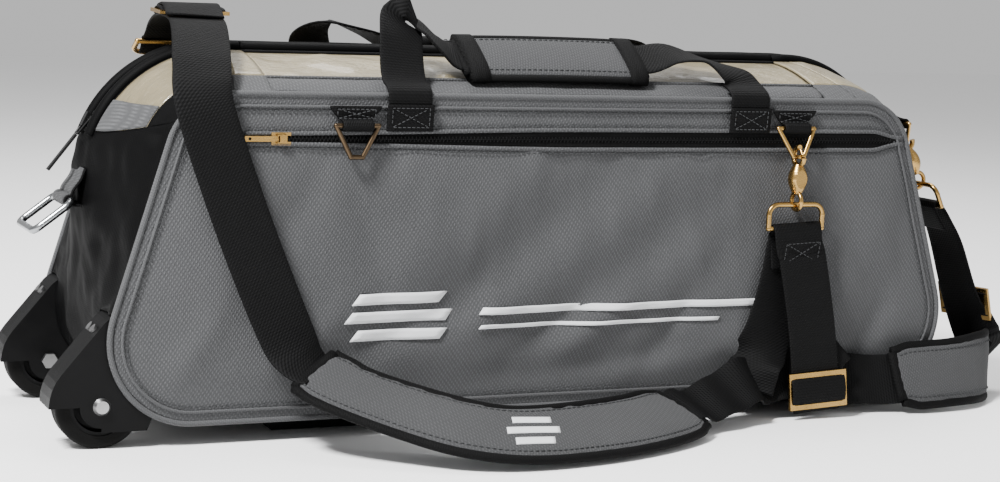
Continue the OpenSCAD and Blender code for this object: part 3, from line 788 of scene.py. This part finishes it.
def cap(side, word, band_mat):
    """Padded corner above an end: bands, window ends and the zip's tape."""
    mats = [band_mat, *CAP_MATS[1:]]
    rough = [0.003, 0.0026, 0.0, 0.0026, 0.003]
    made = [end_piece(f"{word}_cap_{k}", side, ZIP_END, LAST, y0, y1, mat, 40, 24, 4.0 + k,
                      rough=r, fade=0.006)
            for k, ((y0, y1), mat, r) in enumerate(zip(CAP_ZONES, mats, rough))]
    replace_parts(made[0], f"{word}_top_cap")
    for k in (1, 3):
        end_piece(f"{word}_cap_patch_{k}", side, ZIP_END, ZIP_END + 6, *CAP_ZONES[k], "twill",
                  14, 20, 9.0, out=0.0012, rough=0.001)


cap(-1, "left", "nylon")
cap(1, "right", "twill")


def roof_strip(name, y0, y1, mat, body, rough=0.0, nx=120, ny=16, seed=1.0, puff=0.0):
    """Strip of the roof between two depths, from its seam towards the zip."""
    def f(u, v):
        x, y = lerp(-LID_HALF, LID_HALF, u), lerp(y0, y1, v)
        edge = smooth(min(v, 1 - v) * 6) * smooth(min(u, 1 - u) * 30)
        z = roof(y) + puff * math.sin(math.pi * v)
        return Vector((x, y, z + crumple((x, y, z), seed, rough, 22) * edge))

    return outwards(surface(name, f, nx, ny, mat, body), y0 > 0)


FLAP_Y = 0.0138
FLAP_LIFT = 0.0034
FLAP = [(0.0058 * x / 0.005, 0.0048 * z / 0.005) for x, z in round_profile(0.005, 14)]
for side, word in ((-1, "left"), (1, "right")):
    for s in (-1, 1):
        line = [section(lerp(LAST, ZIP_END - 1, i / 60), FLAP_Y) for i in range(61)]
        line = [Vector((LID_HALF + 0.0006, line[0].y))] + line
        roll = [Vector((side * p.x, s * FLAP_Y, p.y)) for p in line]
        out = [DEPTHWISE] * len(roll)
        normals = [d[2] for d in frames(roll, out)]
        flip = 1 if normals[0].z > 0 else -1
        roll = [p + n * flip * FLAP_LIFT for p, n in zip(roll, normals)]
        sweep(f"zip_flap_{word}_{'front' if s < 0 else 'rear'}", roll, out, FLAP, "nylon")

for side, word in ((-1, "left"), (1, "right")):
    for k, ((y0, y1), mat) in enumerate(zip(CAP_ZONES, CAP_MATS)):
        def f(u, v, side=side, y0=y0, y1=y1):
            y = lerp(y0, y1, v)
            p = section(LAST, y)
            x = lerp(p.x, LID_HALF + 0.0006, u)
            return Vector((side * x, y, p.y))
        outwards(surface(f"{word}_cap_flat_{k}", f, 8, 16, mat, thick=0.002), side < 0)

for s, word in ((-1, "front"), (1, "rear")):
    body = f"lid_{word}"
    for name, node_name, y0, y1, mat, form in (
            ("lid_band_cloth", "lid_band", HINGE_Y, WINDOW_Y, "twill",
             {"rough": 0.0012, "seed": 3.0 + s, "puff": 0.0012}),
            ("window_vinyl", "window", WINDOW_Y, TAPE_Y, "vinyl",
             {"rough": 0.0028, "seed": 6.0 + s, "ny": 30, "nx": 160}),
            ("zip_tape_cloth", "lid_zip_tape", TAPE_Y, 0.0012, "zip", {"nx": 80})):
        strip = roof_strip(f"{name}_{word}", s * y0, s * y1, mat, body, **form)
        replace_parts(strip, f"{node_name}_{word}")
    for y, r, mat in ((WINDOW_Y, 0.0016, "twill"), (TAPE_Y - 0.001, 0.0018, "zip")):
        path = [Vector((x, s * y, roof(y) + r * 0.35)) for x in
                [lerp(-LID_HALF, LID_HALF, i / 100) for i in range(101)]]
        sweep(f"lid_welt_{word}_{round(y * 1000)}", path, [DEPTHWISE] * 101, round_profile(r), mat,
              body)
    xs = [lerp(-LID_HALF, LID_HALF, i / 160) for i in range(161)]
    flap_z = roof(FLAP_Y) + FLAP_LIFT
    roll = [Vector((x, s * FLAP_Y, flap_z + 0.0008 * noise.noise(Vector((x * 16, s, 0)))))
            for x in xs]
    sweep(f"zip_flap_{word}", roll, [DEPTHWISE] * 161, FLAP, "nylon", body)
    strip = roof_strip(f"seam_strip_cloth_{word}", s * LOFT_HALF, s * (HINGE_Y + 0.0005), "twill",
                       "bag", nx=60, ny=6)
    if s < 0:
        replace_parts(strip, "seam_strips")


def teeth(name, place, count, body, size=(0.0016, 0.0026, 0.0014)):
    """Row of interlocking zip teeth; place(k) gives position, along and up."""
    verts, faces = [], []
    for k in range(count):
        p, along, up = place(k)
        side = up.cross(along)
        shift = side * (0.0008 if k % 2 else -0.0008)
        base = len(verts)
        for a in (-1, 1):
            for b in (-1, 1):
                for c in (-1, 1):
                    half = 0.72 if c > 0 else 1.0
                    verts.append(p + shift + along * a * size[0] / 2 * half
                                 + side * b * size[1] / 2 * half + up * c * size[2] / 2)
        faces += [tuple(base + i for i in f) for f in (
            (0, 1, 3, 2), (4, 6, 7, 5), (0, 4, 5, 1), (2, 3, 7, 6), (0, 2, 6, 4), (1, 5, 7, 3))]
    new_piece(name, verts, faces, "teeth", body, flat=True)


PITCH = 0.0024
for s, word in ((-1, "front"), (1, "rear")):
    count = int(2 * LID_HALF / (2 * PITCH))

    def lid_tooth(k, s=s):
        x = -LID_HALF + PITCH * (2 * k + (s > 0)) + 0.001
        return Vector((x, s * 0.0024, CREST_Z + 0.0008)), LENGTHWISE, UP
    teeth(f"crest_teeth_{word}", lid_tooth, count, f"lid_{word}")


# ------------ pocket zip

ZIP_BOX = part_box("pocket_zip_tape")
ZIP_X0, ZIP_X1 = ZIP_BOX[0][0], ZIP_BOX[1][0]
ZIP_Z = (ZIP_BOX[0][2] + ZIP_BOX[1][2]) / 2
ZIP_HALF = (ZIP_BOX[1][2] - ZIP_BOX[0][2]) / 2


def zip_half(x):
    """Half of the open band's height at x: it widens along the bag and closes at its right end."""
    opening = lerp(0.42, 1.0, smooth((x - ZIP_X0) / 0.3))
    return ZIP_HALF * opening * lerp(0.25, 1.0, smooth((ZIP_X1 - x) / 0.03))


def zip_sheet(u, v):
    x = lerp(ZIP_X0, ZIP_X1, u)
    z = ZIP_Z + lerp(-1, 1, v) * zip_half(x)
    return Vector((x, front_y(x, z, 0.0005), z))


pocket_zip = surface("pocket_zip_cloth", zip_sheet, 180, 6, "zip", thick=0.0012)
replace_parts(pocket_zip, "pocket_zip_tape")

for side, word in ((1, "upper"), (-1, "lower")):
    lip, seam = [], []
    for i in range(181):
        x = lerp(ZIP_X0 - 0.004, ZIP_X1 + 0.004, i / 180)
        z = ZIP_Z + side * (zip_half(x) + 0.0012)
        proud = 0.0006 + 0.0003 * noise.noise(Vector((x * 30, side, 0)))
        lip.append(Vector((x, front_y(x, z, proud), z)))
        seam_z = lip[-1].z + side * 0.0035
        seam.append(Vector((lip[-1].x, front_y(lip[-1].x, seam_z, 0.0004), seam_z)))
    sweep(f"pocket_zip_lip_{word}", lip, [UP] * 181,
          round_profile(0.0012, 8, (1.5, 0.8)), "twill")
    stitches(f"pocket_zip_stitches_{word}", seam, [-DEPTHWISE] * 181)


POCKET_PITCH = 0.0016


def pocket_tooth(k):
    x = ZIP_X0 + 0.022 + POCKET_PITCH * k
    return Vector((x, front_y(x, ZIP_Z, 0.0012), ZIP_Z)), LENGTHWISE, -DEPTHWISE


teeth("pocket_zip_teeth", pocket_tooth, int((ZIP_X1 - ZIP_X0 - 0.03) / POCKET_PITCH), "bag",
      size=(0.0011, 0.0026, 0.0011))


# ------------ webbing

def wrapped(points, direction, name, width):
    """Webbing of one width direction through plain points."""
    path = catmull([mm(*p) for p in points], 6)
    sweep(name, path, [Vector(direction)] * len(path), strap_profile(width, CLOTH), "web")


def box_stitch(name, centre, across, along, normal, w, h):
    """Square of stitches with its two diagonals."""
    c = Vector(centre)
    a, b, n = [Vector(v).normalized() for v in (across, along, normal)]
    corners = [c + a * w * i + b * h * j for i, j in ((-1, -1), (1, -1), (1, 1), (-1, 1))]
    lines = [corners + [corners[0]], [corners[0], corners[2]], [corners[1], corners[3]]]
    join(name, [stitches(f"{name}_{k}", line, [n] * len(line), long=0.0026, gap=0.0014, r=0.0003)
                for k, line in enumerate(lines)])


STRAP_LEFT = [
    ((-290, 90, 300), (1, 0, 0)), ((-290, 84, 305.5), (1, 0, 0)), ((-290, 80.5, 313.2), (1, 0, 0)),
    ((-290, 75.5, 314.2), (1, 0, 0)),
    ((-290, 68, 319), (1, 0, 0)), ((-290, 58, 327), (1, 0, 0)), ((-292, 30, 334), (1, 0, 0)),
    ((-296, -12, 335), (1, 0, 0)), ((-300, -50, 331), (1, 0, 0)), ((-306, -82, 318), (1, 0, 0)),
    ((-313, -112, 298), (0.99, 0, 0.1)), ((-315, -130.5, 268), (0.96, 0, 0.26)),
    ((-293, -132, 203), (0.94, 0, 0.34)), ((-269, -133.5, 141), (0.94, 0, 0.33)),
    ((-247, -138, 88), (0.9, 0.1, 0.4)), ((-238, -144.5, 71), (0.65, 0.4, 0.4)),
    ((-226, -153, 60), (0.2, 0.8, 0.45))]
STRAP_MIDDLE = [
    ((80, -181, 20.5), (-0.4, 0.82, 0.36)), ((95, -175, 23), (-0.3, 0.86, 0.36)),
    ((134, -162, 27), (-0.25, 0.8, 0.5)), ((174, -146, 35), (-0.1, 0.65, 0.75)),
    ((214, -138.5, 38), (0, 0.4, 0.9)), ((262, -136, 33), (0, 0.35, 0.9)),
    ((300, -138, 29), (0, 0.4, 0.9)), ((330, -145, 30), (0, 0.45, 0.9))]
STRAP_RIGHT = [
    ((463, -91, 33), (0.2, 0.2, 0.9)), ((468, -80, 43), (0, 0.5, 0.8)),
    ((467.5, -74, 52), (-0.4, 0.75, 0.4)), ((465.5, -70, 60), (-0.5, 0.86, 0)),
    ((459.5, -62.5, 76), (-0.33, 0.94, 0)),
    ((450, -60, 100), (-0.2, 0.97, 0)), ((434, -60, 142), (-0.1, 1, 0)),
    ((421.5, -60, 165), (0, 1, 0)), ((412.5, -60, 177), (0, 1, 0)), ((405.6, -60, 183), (0, 1, 0)),
    ((402.2, -60, 178), (0, 1, 0)), ((408, -60, 168), (0, 1, 0)), ((417, -60, 156), (0, 1, 0))]
STRAP_DROP = [
    ((220, -133.5, 132), (1, 0, 0.05)), ((219, -131.9, 150), (1, 0, 0.05)),
    ((218, -131.8, 163), (1, 0, 0.05)), ((217.5, -135.2, 171), (1, 0, 0.05)),
    ((218, -139.2, 165.5), (1, 0, 0.05)), ((219.5, -140.4, 152), (1, 0, 0.05)),
    ((223, -142.5, 138), (1, 0, 0.05)), ((231, -149.5, 80), (1, 0, 0.06)),
    ((235, -153.3, 34), (1, 0, 0.06)), ((237, -155.3, 7), (1, 0, 0.06))]

for word, stations, width, ripple in (
        ("left", STRAP_LEFT, 0.046, 0), ("middle", STRAP_MIDDLE, 0.046, 0.0030),
        ("right", STRAP_RIGHT, 0.046, 0), ("drop", STRAP_DROP, 0.0475, 0)):
    strap = webbing(f"shoulder_strap_{word}", stations, width, per=9, ripple=ripple)
    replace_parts(strap, f"strap_{word}")
box_stitch("drop_fold_stitches", (0.2205, -0.1436, 0.146), (1, 0, 0.05), (0.06, -0.12, 1),
           (0, -1, -0.1), 0.017, 0.009)


# The strap doubled back over the slide on the crest
over = [(-289, 38, 336.5), (-292, 20, 340.5), (-295, 4, 343.2), (-296, -10, 344.4),
        (-298, -24, 343.0), (-299.5, -37, 338.6), (-300.5, -45, 335.4)]
wrapped(over, (1, 0, 0), "strap_double_left", 0.0475)


# Spare end of the strap, doubled under the slide of the drop strap
wrapped([(236, -151.2, 30), (243, -148, 44), (252, -145, 58), (262, -143, 66)], (0.9, -0.2, -0.5),
        "spare_webbing_drop", 0.040)


# Black strip from the loop down to the gathered webbing beside the pad: its upper part is painted
# shadow (the drop strap's cast shadow on the bag), its lower end the real webbing rising behind the
# drop strap
webbing("webbing_and_painted_shadow_behind_drop", [
    ((216, -131.6, 160), (1, 0, 0.05)), ((211, -131.0, 125), (0.98, 0, 0.17)),
    ((203, -131.2, 92), (0.97, 0, 0.24)), ((192, -133.5, 62), (0.93, -0.1, 0.35)),
    ((180, -139, 44), (0.8, -0.3, 0.5)), ((174, -140.5, 27), (0.75, -0.3, 0.55))], 0.046, per=8)


def slide_wrap(name, centre, u, v):
    """Webbing where it passes over the middle bar of a three-bar slide."""
    x = Vector(u).normalized()
    z = x.cross(Vector(v)).normalized()
    y = z.cross(x)
    path = [mm(*centre) + y * a / 1000 + z * b / 1000 for a, b in (
        (-11.4, 1.6), (-10.2, 4.4), (-8.0, 5.6), (-4, 6.2), (0, 6.4), (4, 6.2), (8.0, 5.6),
        (10.2, 4.4), (11.4, 1.6))]
    path = catmull(path, 4)
    sweep(name, path, [x] * len(path), strap_profile(0.0545, 0.002), "web")


slide_wrap("slide_wrap_drop", (236, -153.5, 26), (1, 0, 0.05), (-0.05, 0.08, 1))
slide_wrap("slide_wrap_left", (-296, -12, 335), (1, 0, 0), (0, 1, 0.05))
slide_wrap("slide_wrap_right", (457.5, -60.8, 83.3), (-0.27, 0.96, 0), (-0.28, 0, 0.96))


# Handles: sewn to the body, over the piping, and on to the grips that move with the lids

def rise_points(s, x):
    return [((x, s * 123.4, 252), (1, 0, 0)), ((x, s * 124.2, 262), (1, 0, 0)),
            ((x, s * 125.0, 272), (1, 0, 0)), ((x, s * 124.4, 280), (1, 0, 0)),
            ((x, s * 119.5, 285), (1, 0, 0))]


HANDLES = {
    "front_left": (-1, "lid_front", rise_points(-1, -144) + [
        ((-144, -110, 289.5), (1, 0, 0)), ((-143, -101, 301), (1, 0, 0)),
        ((-140, -89, 326), (1, 0.1, 0)), ((-134, -75, 338), (0.9, 0.3, -0.2)),
        ((-118, -74, 333), (0.3, 0.9, 0.2)), ((-104, -79, 320), (0.1, 0.92, 0.4)),
        ((-90, -80, 310), (0, 0.82, 0.57)), ((-74, -80, 308), (0, 0.82, 0.57))]),
    "front_right": (-1, "lid_front", rise_points(-1, 172) + [
        ((171.5, -108, 291), (1, 0, 0)), ((166, -100, 299), (0.9, 0.3, 0)),
        ((146, -86, 310), (0.5, 0.8, 0)), ((116, -79, 315), (0.1, 0.92, 0.4)),
        ((92, -80, 310), (0, 0.82, 0.57)), ((74, -80, 308), (0, 0.82, 0.57))]),
    "rear_left": (1, "lid_rear", rise_points(1, -144) + [
        ((-145, 108.5, 290), (1, 0, 0)), ((-156, 92, 301), (0.95, 0.3, 0)),
        ((-168, 62, 322), (0.9, 0.4, 0)), ((-158, 42, 332), (0.5, 0.8, 0)),
        ((-124, 44, 324), (0.1, 1, -0.1)), ((-94, 51, 312.8), (0, 0.97, -0.23)),
        ((-74, 52, 311), (0, 0.97, -0.23))]),
    "rear_right": (1, "lid_rear", rise_points(1, 172) + [
        ((171, 108.5, 290), (1, 0, 0)), ((166, 92, 301), (0.9, -0.3, 0)),
        ((150, 66, 318), (0.5, -0.8, 0)), ((120, 50, 321), (0, -1, 0.1)),
        ((94, 51, 312.8), (0, -0.97, 0.23)), ((74, 52, 311), (0, -0.97, 0.23))]),
}
NODE_OF = {"front_left": "handle_front", "rear_left": "handle_rear"}
for word, (s, body, stations) in HANDLES.items():
    strap = webbing(f"handle_webbing_{word}", stations, 0.038, body=None, per=7)
    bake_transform(strap)
    if word in NODE_OF:
        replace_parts(strap, NODE_OF[word])

bases = []
for s in (-1, 1):
    for x in (-144, 172):
        path = [mm(x, s * 125.0, 249.5), mm(x, s * 125.7, 256), mm(x, s * 126.6, 264),
                mm(x, s * 127.4, 271)]
        path = catmull(path, 5)
        word = f"{'front' if s < 0 else 'rear'}_{'left' if x < 0 else 'right'}"
        bases.append(sweep(f"handle_base_{word}", path, [LENGTHWISE] * len(path),
                           strap_profile(0.0405, 0.0022), "web"))
        box_stitch(f"handle_stitches_{word}", (x / 1000, s * 0.1277, 0.2605), (1, 0, 0),
                   (0, s * 0.09, 1), (0, s, -0.1), 0.016, 0.0078)
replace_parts(join("handle_sewn_bases", bases), "handle_bases")


# ------------ padded pieces

CLOTH_FRAMES = 20
PAD_VOXEL = 0.0046
PAD_CAP = 0.0035


def swell(piece, pinned):
    """Swells a closed padded form as cloth under a little air, and keeps the result."""
    remesh = piece.modifiers.new("remesh", "REMESH")
    remesh.mode = "VOXEL"
    remesh.voxel_size = PAD_VOXEL
    remesh.use_smooth_shade = True
    apply_modifiers(piece)
    rest = [v.co.copy() for v in piece.data.vertices]
    held = piece.vertex_groups.new(name="held")
    held.add([v.index for v in piece.data.vertices if pinned(v.co)], 1.0, "REPLACE")
    cloth = piece.modifiers.new("cloth", "CLOTH")
    for setting, value in (
            ("quality", 6), ("mass", 0.25), ("vertex_group_mass", "held"),
            ("use_pressure", True), ("uniform_pressure_force", 4.0),
            ("tension_stiffness", 22), ("compression_stiffness", 22),
            ("shear_stiffness", 12), ("bending_stiffness", 0.9)):
        setattr(cloth.settings, setting, value)
    cloth.settings.effector_weights.gravity = 0
    cloth.collision_settings.use_self_collision = False
    cloth.point_cache.frame_start = 1
    cloth.point_cache.frame_end = CLOTH_FRAMES
    scene = bpy.context.scene
    for frame_number in range(1, CLOTH_FRAMES + 1):
        scene.frame_set(frame_number)
    apply_modifiers(piece)
    scene.frame_set(1)
    for v, p in zip(piece.data.vertices, rest):
        move = v.co - p
        if move.length > PAD_CAP:
            v.co = p + move.normalized() * PAD_CAP
    piece.vertex_groups.clear()
    subdivided(piece)
    piece.data.polygons.foreach_set("use_smooth", [True] * len(piece.data.polygons))


def pad_profile(width, thick, n=26, sharp=2.6):
    """Crowned section that pulls in to its two sewn edges."""
    ring = []
    for k in range(n):
        a = 2 * math.pi * k / n
        c, s = math.cos(a), math.sin(a)
        ring.append((width / 2 * math.copysign(abs(c) ** 0.75, c),
                     thick / 2 * math.copysign(abs(s) ** (2 / sharp), s)))
    return ring


def pad(name, stations, width, thick, body, node_name, edge=0.0045, per=10, binding=0.0033):
    """Padded strap: a swollen form between its bound edges, with bound ends."""
    path, widths = strap_path(stations, per)
    dirs = frames(path, widths)
    run = lengths(path)

    def end_k(t):
        d = min(t, 1 - t) * run[-1]
        return lerp(0.86, 1.0, smooth(d / 0.02))

    piece = sweep(name, path, widths, pad_profile(width, thick * 0.74), "pad", body, tape=end_k)
    half = width / 2 - edge

    def pinned(co):
        i = min(range(0, len(path), 2), key=lambda k: (path[k] - co).length_squared)
        _, w, _ = dirs[i]
        return abs((co - path[i]).dot(w)) > half or i < 2 or i > len(path) - 4

    swell(piece, pinned)
    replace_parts(piece, node_name)
    welts = []
    for s in (-1, 1):
        edge_path = [p + d[1] * s * (width / 2 - 0.002) * end_k(r / run[-1])
                     for p, d, r in zip(path, dirs, run)]
        welts.append(sweep("binding", edge_path, [d[1] for d in dirs],
                           round_profile(binding, 12, (1.3, 1.0)), "binding", body))
    for i in (0, len(path) - 1):
        t, w, _ = dirs[i]
        cross = [path[i] + w * lerp(-1, 1, k / 8) * (width / 2 - 0.004) * 0.86 for k in range(9)]
        welts.append(sweep("binding", cross, [t] * 9,
                           round_profile(binding, 12, (1.5, 1.35)), "binding", body))
    join(f"{name}_binding", welts)
    for s in (-1, 1):
        rows, normals = [], []
        tree = surface_tree(piece)
        for p, d, r in zip(path, dirs, run):
            start = p + d[1] * s * (width / 2 - 0.0085) * end_k(r / run[-1])
            hit = tree.ray_cast(start + d[2] * 0.04, -d[2])
            if hit[0] is not None:
                rows.append(hit[0] + hit[1] * 0.0002)
                normals.append(hit[1])
        if len(rows) > 3:
            stitches(f"{name}_stitches_{'upper' if s > 0 else 'lower'}", rows, normals, body)
    return piece, path, dirs


def surface_tree(piece):
    bpy.context.view_layer.update()
    return BVHTree.FromObject(piece, bpy.context.evaluated_depsgraph_get())


PAD_LONG = [
    ((-228, -151, 62), (-0.1, 0.85, 0.5)), ((-206, -176, 50), (0.4, 0.8, 0.4)),
    ((-163, -208, 36), (0.5, 0.75, 0.4)), ((-124, -233, 27), (0.35, 0.85, 0.45)),
    ((-79, -240, 22), (0.25, 0.88, 0.42)), ((-14, -230, 21), (0.05, 0.9, 0.42)),
    ((44, -207, 20.5), (-0.15, 0.9, 0.4)), ((88, -178, 20.5), (-0.4, 0.82, 0.36))]
PAD_SHORT = [
    ((326, -147, 32), (-0.2, 0.45, 0.88)), ((362, -147, 33), (0, 0.45, 0.88)),
    ((404, -139, 33), (0.15, 0.5, 0.85)), ((440, -118, 32.5), (0.3, 0.45, 0.85)),
    ((467, -86, 32), (0.2, 0.2, 0.9))]

long_pad, long_path, long_dirs = pad("pad_long", PAD_LONG, 0.066, 0.013, "bag", "shoulder_pad_long")
pad("pad_short", PAD_SHORT, 0.0594, 0.013, "bag", "shoulder_pad_short")
GRIP_FRONT = [((x, -80, 308 - (x / 82) ** 2), (0, 0.82, 0.57)) for x in (-82, -40, 0, 40, 82)]
GRIP_REAR = [((x, 52, 311), (0, 0.97, -0.23)) for x in (-82, -40, 0, 40, 82)]
pad("grip_pad_front", GRIP_FRONT, 0.058, 0.0145, "lid_front", "grip_front", per=8, edge=0.004,
    binding=0.0030)
pad("grip_pad_rear", GRIP_REAR, 0.048, 0.013, "lid_rear", "grip_rear", per=8, edge=0.003,
    binding=0.0022)


# Bound ends of the grips: bands of black cloth round the padding
for word, stations, wide in (("front", GRIP_FRONT, 0.0615), ("rear", GRIP_REAR, 0.0515)):
    path, widths = strap_path(stations, 8)
    across = [d[1] for d in frames(path, widths)]
    for side, part in (("left", slice(0, 4)), ("right", slice(-4, None))):
        sweep(f"grip_end_{word}_{side}", path[part], across[part],
              pad_profile(wide, 0.0165, 30, 2.4), "binding", f"lid_{word}")


# ------------ ring tabs

ROLL_WIDTH = 0.026
ROLL_R = 0.0037


FRONT_PATCH = ((-0.0042, 0.0155), (-0.0046, 0.0095), (-0.0044, 0.0060))


def bar_tab(name, pivot, out, along, patch=FRONT_PATCH, patch_width=0.044,
            back=(-0.0050, -0.0036)):
    """Webbing folded round a ring's bar: out from the cloth, round the bar and back under it."""
    pivot = Vector(pivot)
    points = [pivot + out * p + UP * q for p, q in patch]
    for k in range(9):
        a = math.radians(lerp(100, -110, k / 8))
        points.append(pivot + out * ROLL_R * math.cos(a) + UP * ROLL_R * math.sin(a))
    points.append(pivot + out * back[0] + UP * back[1])
    path = catmull(points, 4)
    share = lengths(path)[len(patch) * 4] / lengths(path)[-1]

    def taper(t):
        return lerp(1.0, ROLL_WIDTH / patch_width, smooth(t / max(share, 0.01)))

    return sweep(name, path, [along] * len(path), strap_profile(patch_width, 0.002), "web",
                 tape=taper)


for x, word in ((-0.190, "left"), (0.217, "right")):
    tab = bar_tab(f"ring_tab_{word}", (x, -0.129, 0.254), -DEPTHWISE, LENGTHWISE)
    if word == "left":
        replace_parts(tab, "ring_tabs")
    box_stitch(f"ring_tab_stitches_{word}", (x, -0.12655, 0.2632), LENGTHWISE, UP, -DEPTHWISE,
               0.016, 0.0038)
bar_tab("ring_tab_rear", (-0.290, 0.129, 0.254), DEPTHWISE, LENGTHWISE)
bar_tab("ring_tab_end", (0.371, -0.060, 0.255), LENGTHWISE, DEPTHWISE,
        ((-0.016, 0.009), (-0.010, 0.0058), (-0.005, 0.0044)), 0.030, (-0.012, -0.0030))

END_PIVOT = Vector((-0.395, 0.0, 0.184))
for half, mat, word, lift in ((0.020, "pad", "cloth", 0.0),
                              (0.0226, "binding", "binding", -0.0006)):
    points = [Vector((x - lift, 0, z)) for x, z in
              ((-0.383, 0.210), (-0.3865, 0.201), (-0.3925, 0.1925))]
    for k in range(10):
        a = math.radians(lerp(70, 290, k / 9))
        r = 0.0046 + lift
        points.append(END_PIVOT + Vector((r * math.cos(a), 0, r * math.sin(a))))
    points.append(Vector((-0.386 - lift, 0, 0.1800)))
    path = catmull(points, 4)
    piece = sweep(f"end_tab_{word}", path, [DEPTHWISE] * len(path), strap_profile(2 * half, 0.0018),
                  mat)
    if word == "cloth":
        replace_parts(piece, "end_tab")


# ------------ plain pale marks

PATCH_STEP = 0.006


def front_patch(name, x0, x1, z, height, slant):
    """Slanted bar of satin thread on the front skin."""
    a, b = Vector((x0, z)), Vector((x1, z))
    c, d = Vector((x1 + slant, z + height)), Vector((x0 + slant, z + height))

    def f(u, v):
        p = a.lerp(b, u).lerp(d.lerp(c, u), v)
        return Vector((p.x, front_y(p.x, p.y, 0.0009), p.y))

    nu, nv = [max(4, int(side.length / PATCH_STEP)) for side in (b - a, d - a)]
    surface(name, f, nu, nv, "satin", thick=0.0009)


for k, (z, x0, x1) in enumerate(((0.109, -0.190, -0.112), (0.094, -0.196, -0.106),
                                 (0.079, -0.190, -0.112))):
    front_patch(f"front_mark_bar_{k}", x0, x1, z, 0.009, 0.007)
for k, (z, x1, h) in enumerate(((0.098, 0.190, 0.0060), (0.086, 0.150, 0.0032))):
    front_patch(f"front_mark_stripe_{k}", -0.078, x1, z, h, h * 0.7)


def pad_patch(name, length, across0, across1):
    """Short pale bar on the long pad, laid on its swollen face."""
    tree = surface_tree(long_pad)
    i = min(range(len(long_path)), key=lambda k: (long_path[k] - PAD_MARK_AT).length)
    t, w, n = long_dirs[i]
    base = long_path[i]

    def f(u, v):
        start = base + t * (u - 0.5) * length + w * lerp(across0, across1, v)
        start += t * lerp(across0, across1, v) * 0.25
        hit = tree.ray_cast(start + n * 0.03, -n)
        if hit[0] is None:
            return start + n * 0.006
        return hit[0] + hit[1] * 0.0007

    surface(name, f, 14, 6, "satin", thick=0.0006)


PAD_MARK_AT = mm(-79, -240, 22)
for k, (low, length) in enumerate(((-0.017, 0.034), (-0.0045, 0.046), (0.008, 0.034))):
    pad_patch(f"pad_mark_bar_{k}", length, low, low + 0.0075)


# ------------ floor, lights, end

WORLD_STRENGTH = 0.62
# Name, place, size and power of each lamp; all of them look at the bag's middle
LAMPS = (("key", (-1.5, -0.85, 2.1), 0.5, 200), ("fill", (1.8, -1.8, 1.0), 1.8, 6),
         ("top", (0.5, 0.9, 2.4), 1.6, 60))
LOOK_AT = Vector((0, 0, 0.12))


def stage():
    bpy.ops.mesh.primitive_plane_add(size=14)
    floor = bpy.context.object
    floor.name = "floor"
    floor.data.materials.append(principled("floor_pale", (0.93, 0.93, 0.93), 0.8)[0])
    world = bpy.data.worlds.new("studio")
    bpy.context.scene.world = world
    world.use_nodes = True
    sky = world.node_tree.nodes["Background"].inputs
    sky["Color"].default_value = (1, 1, 1, 1)
    sky["Strength"].default_value = WORLD_STRENGTH
    for name, place, size, power in LAMPS:
        data = bpy.data.lights.new(name, "AREA")
        data.energy = power
        data.size = size
        lamp = link(bpy.data.objects.new(name, data))
        lamp.location = place
        lamp.rotation_euler = (LOOK_AT - Vector(place)).to_track_quat("-Z", "Y").to_euler()


stage()

paint("rubber", "tyre_front", "tyre_rear")
paint("plastic", "hub_front", "hub_rear", "wheel_housing_front", "wheel_housing_rear",
      "base_runners")
paint("zinc", "housing_screws", "axle_bolts", "bearing_front", "bearing_rear")
paint("brass", "held_rings", "snap_hooks", "strap_loops", "hook_gate_drop", "pocket_zip_slider",
      "pocket_zip_pull", "strap_adjusters")
paint("bronze", "free_ring")
paint("nickel", "end_grab_ring")
paint("foam", "ball_seat_foam", "ball_dividers")
paint("lining", "base_board", "front_wall", "base_panel")
paint("teeth", "main_zip_slider_left", "main_zip_slider_right", "main_zip_pull_left",
      "main_zip_pull_right")
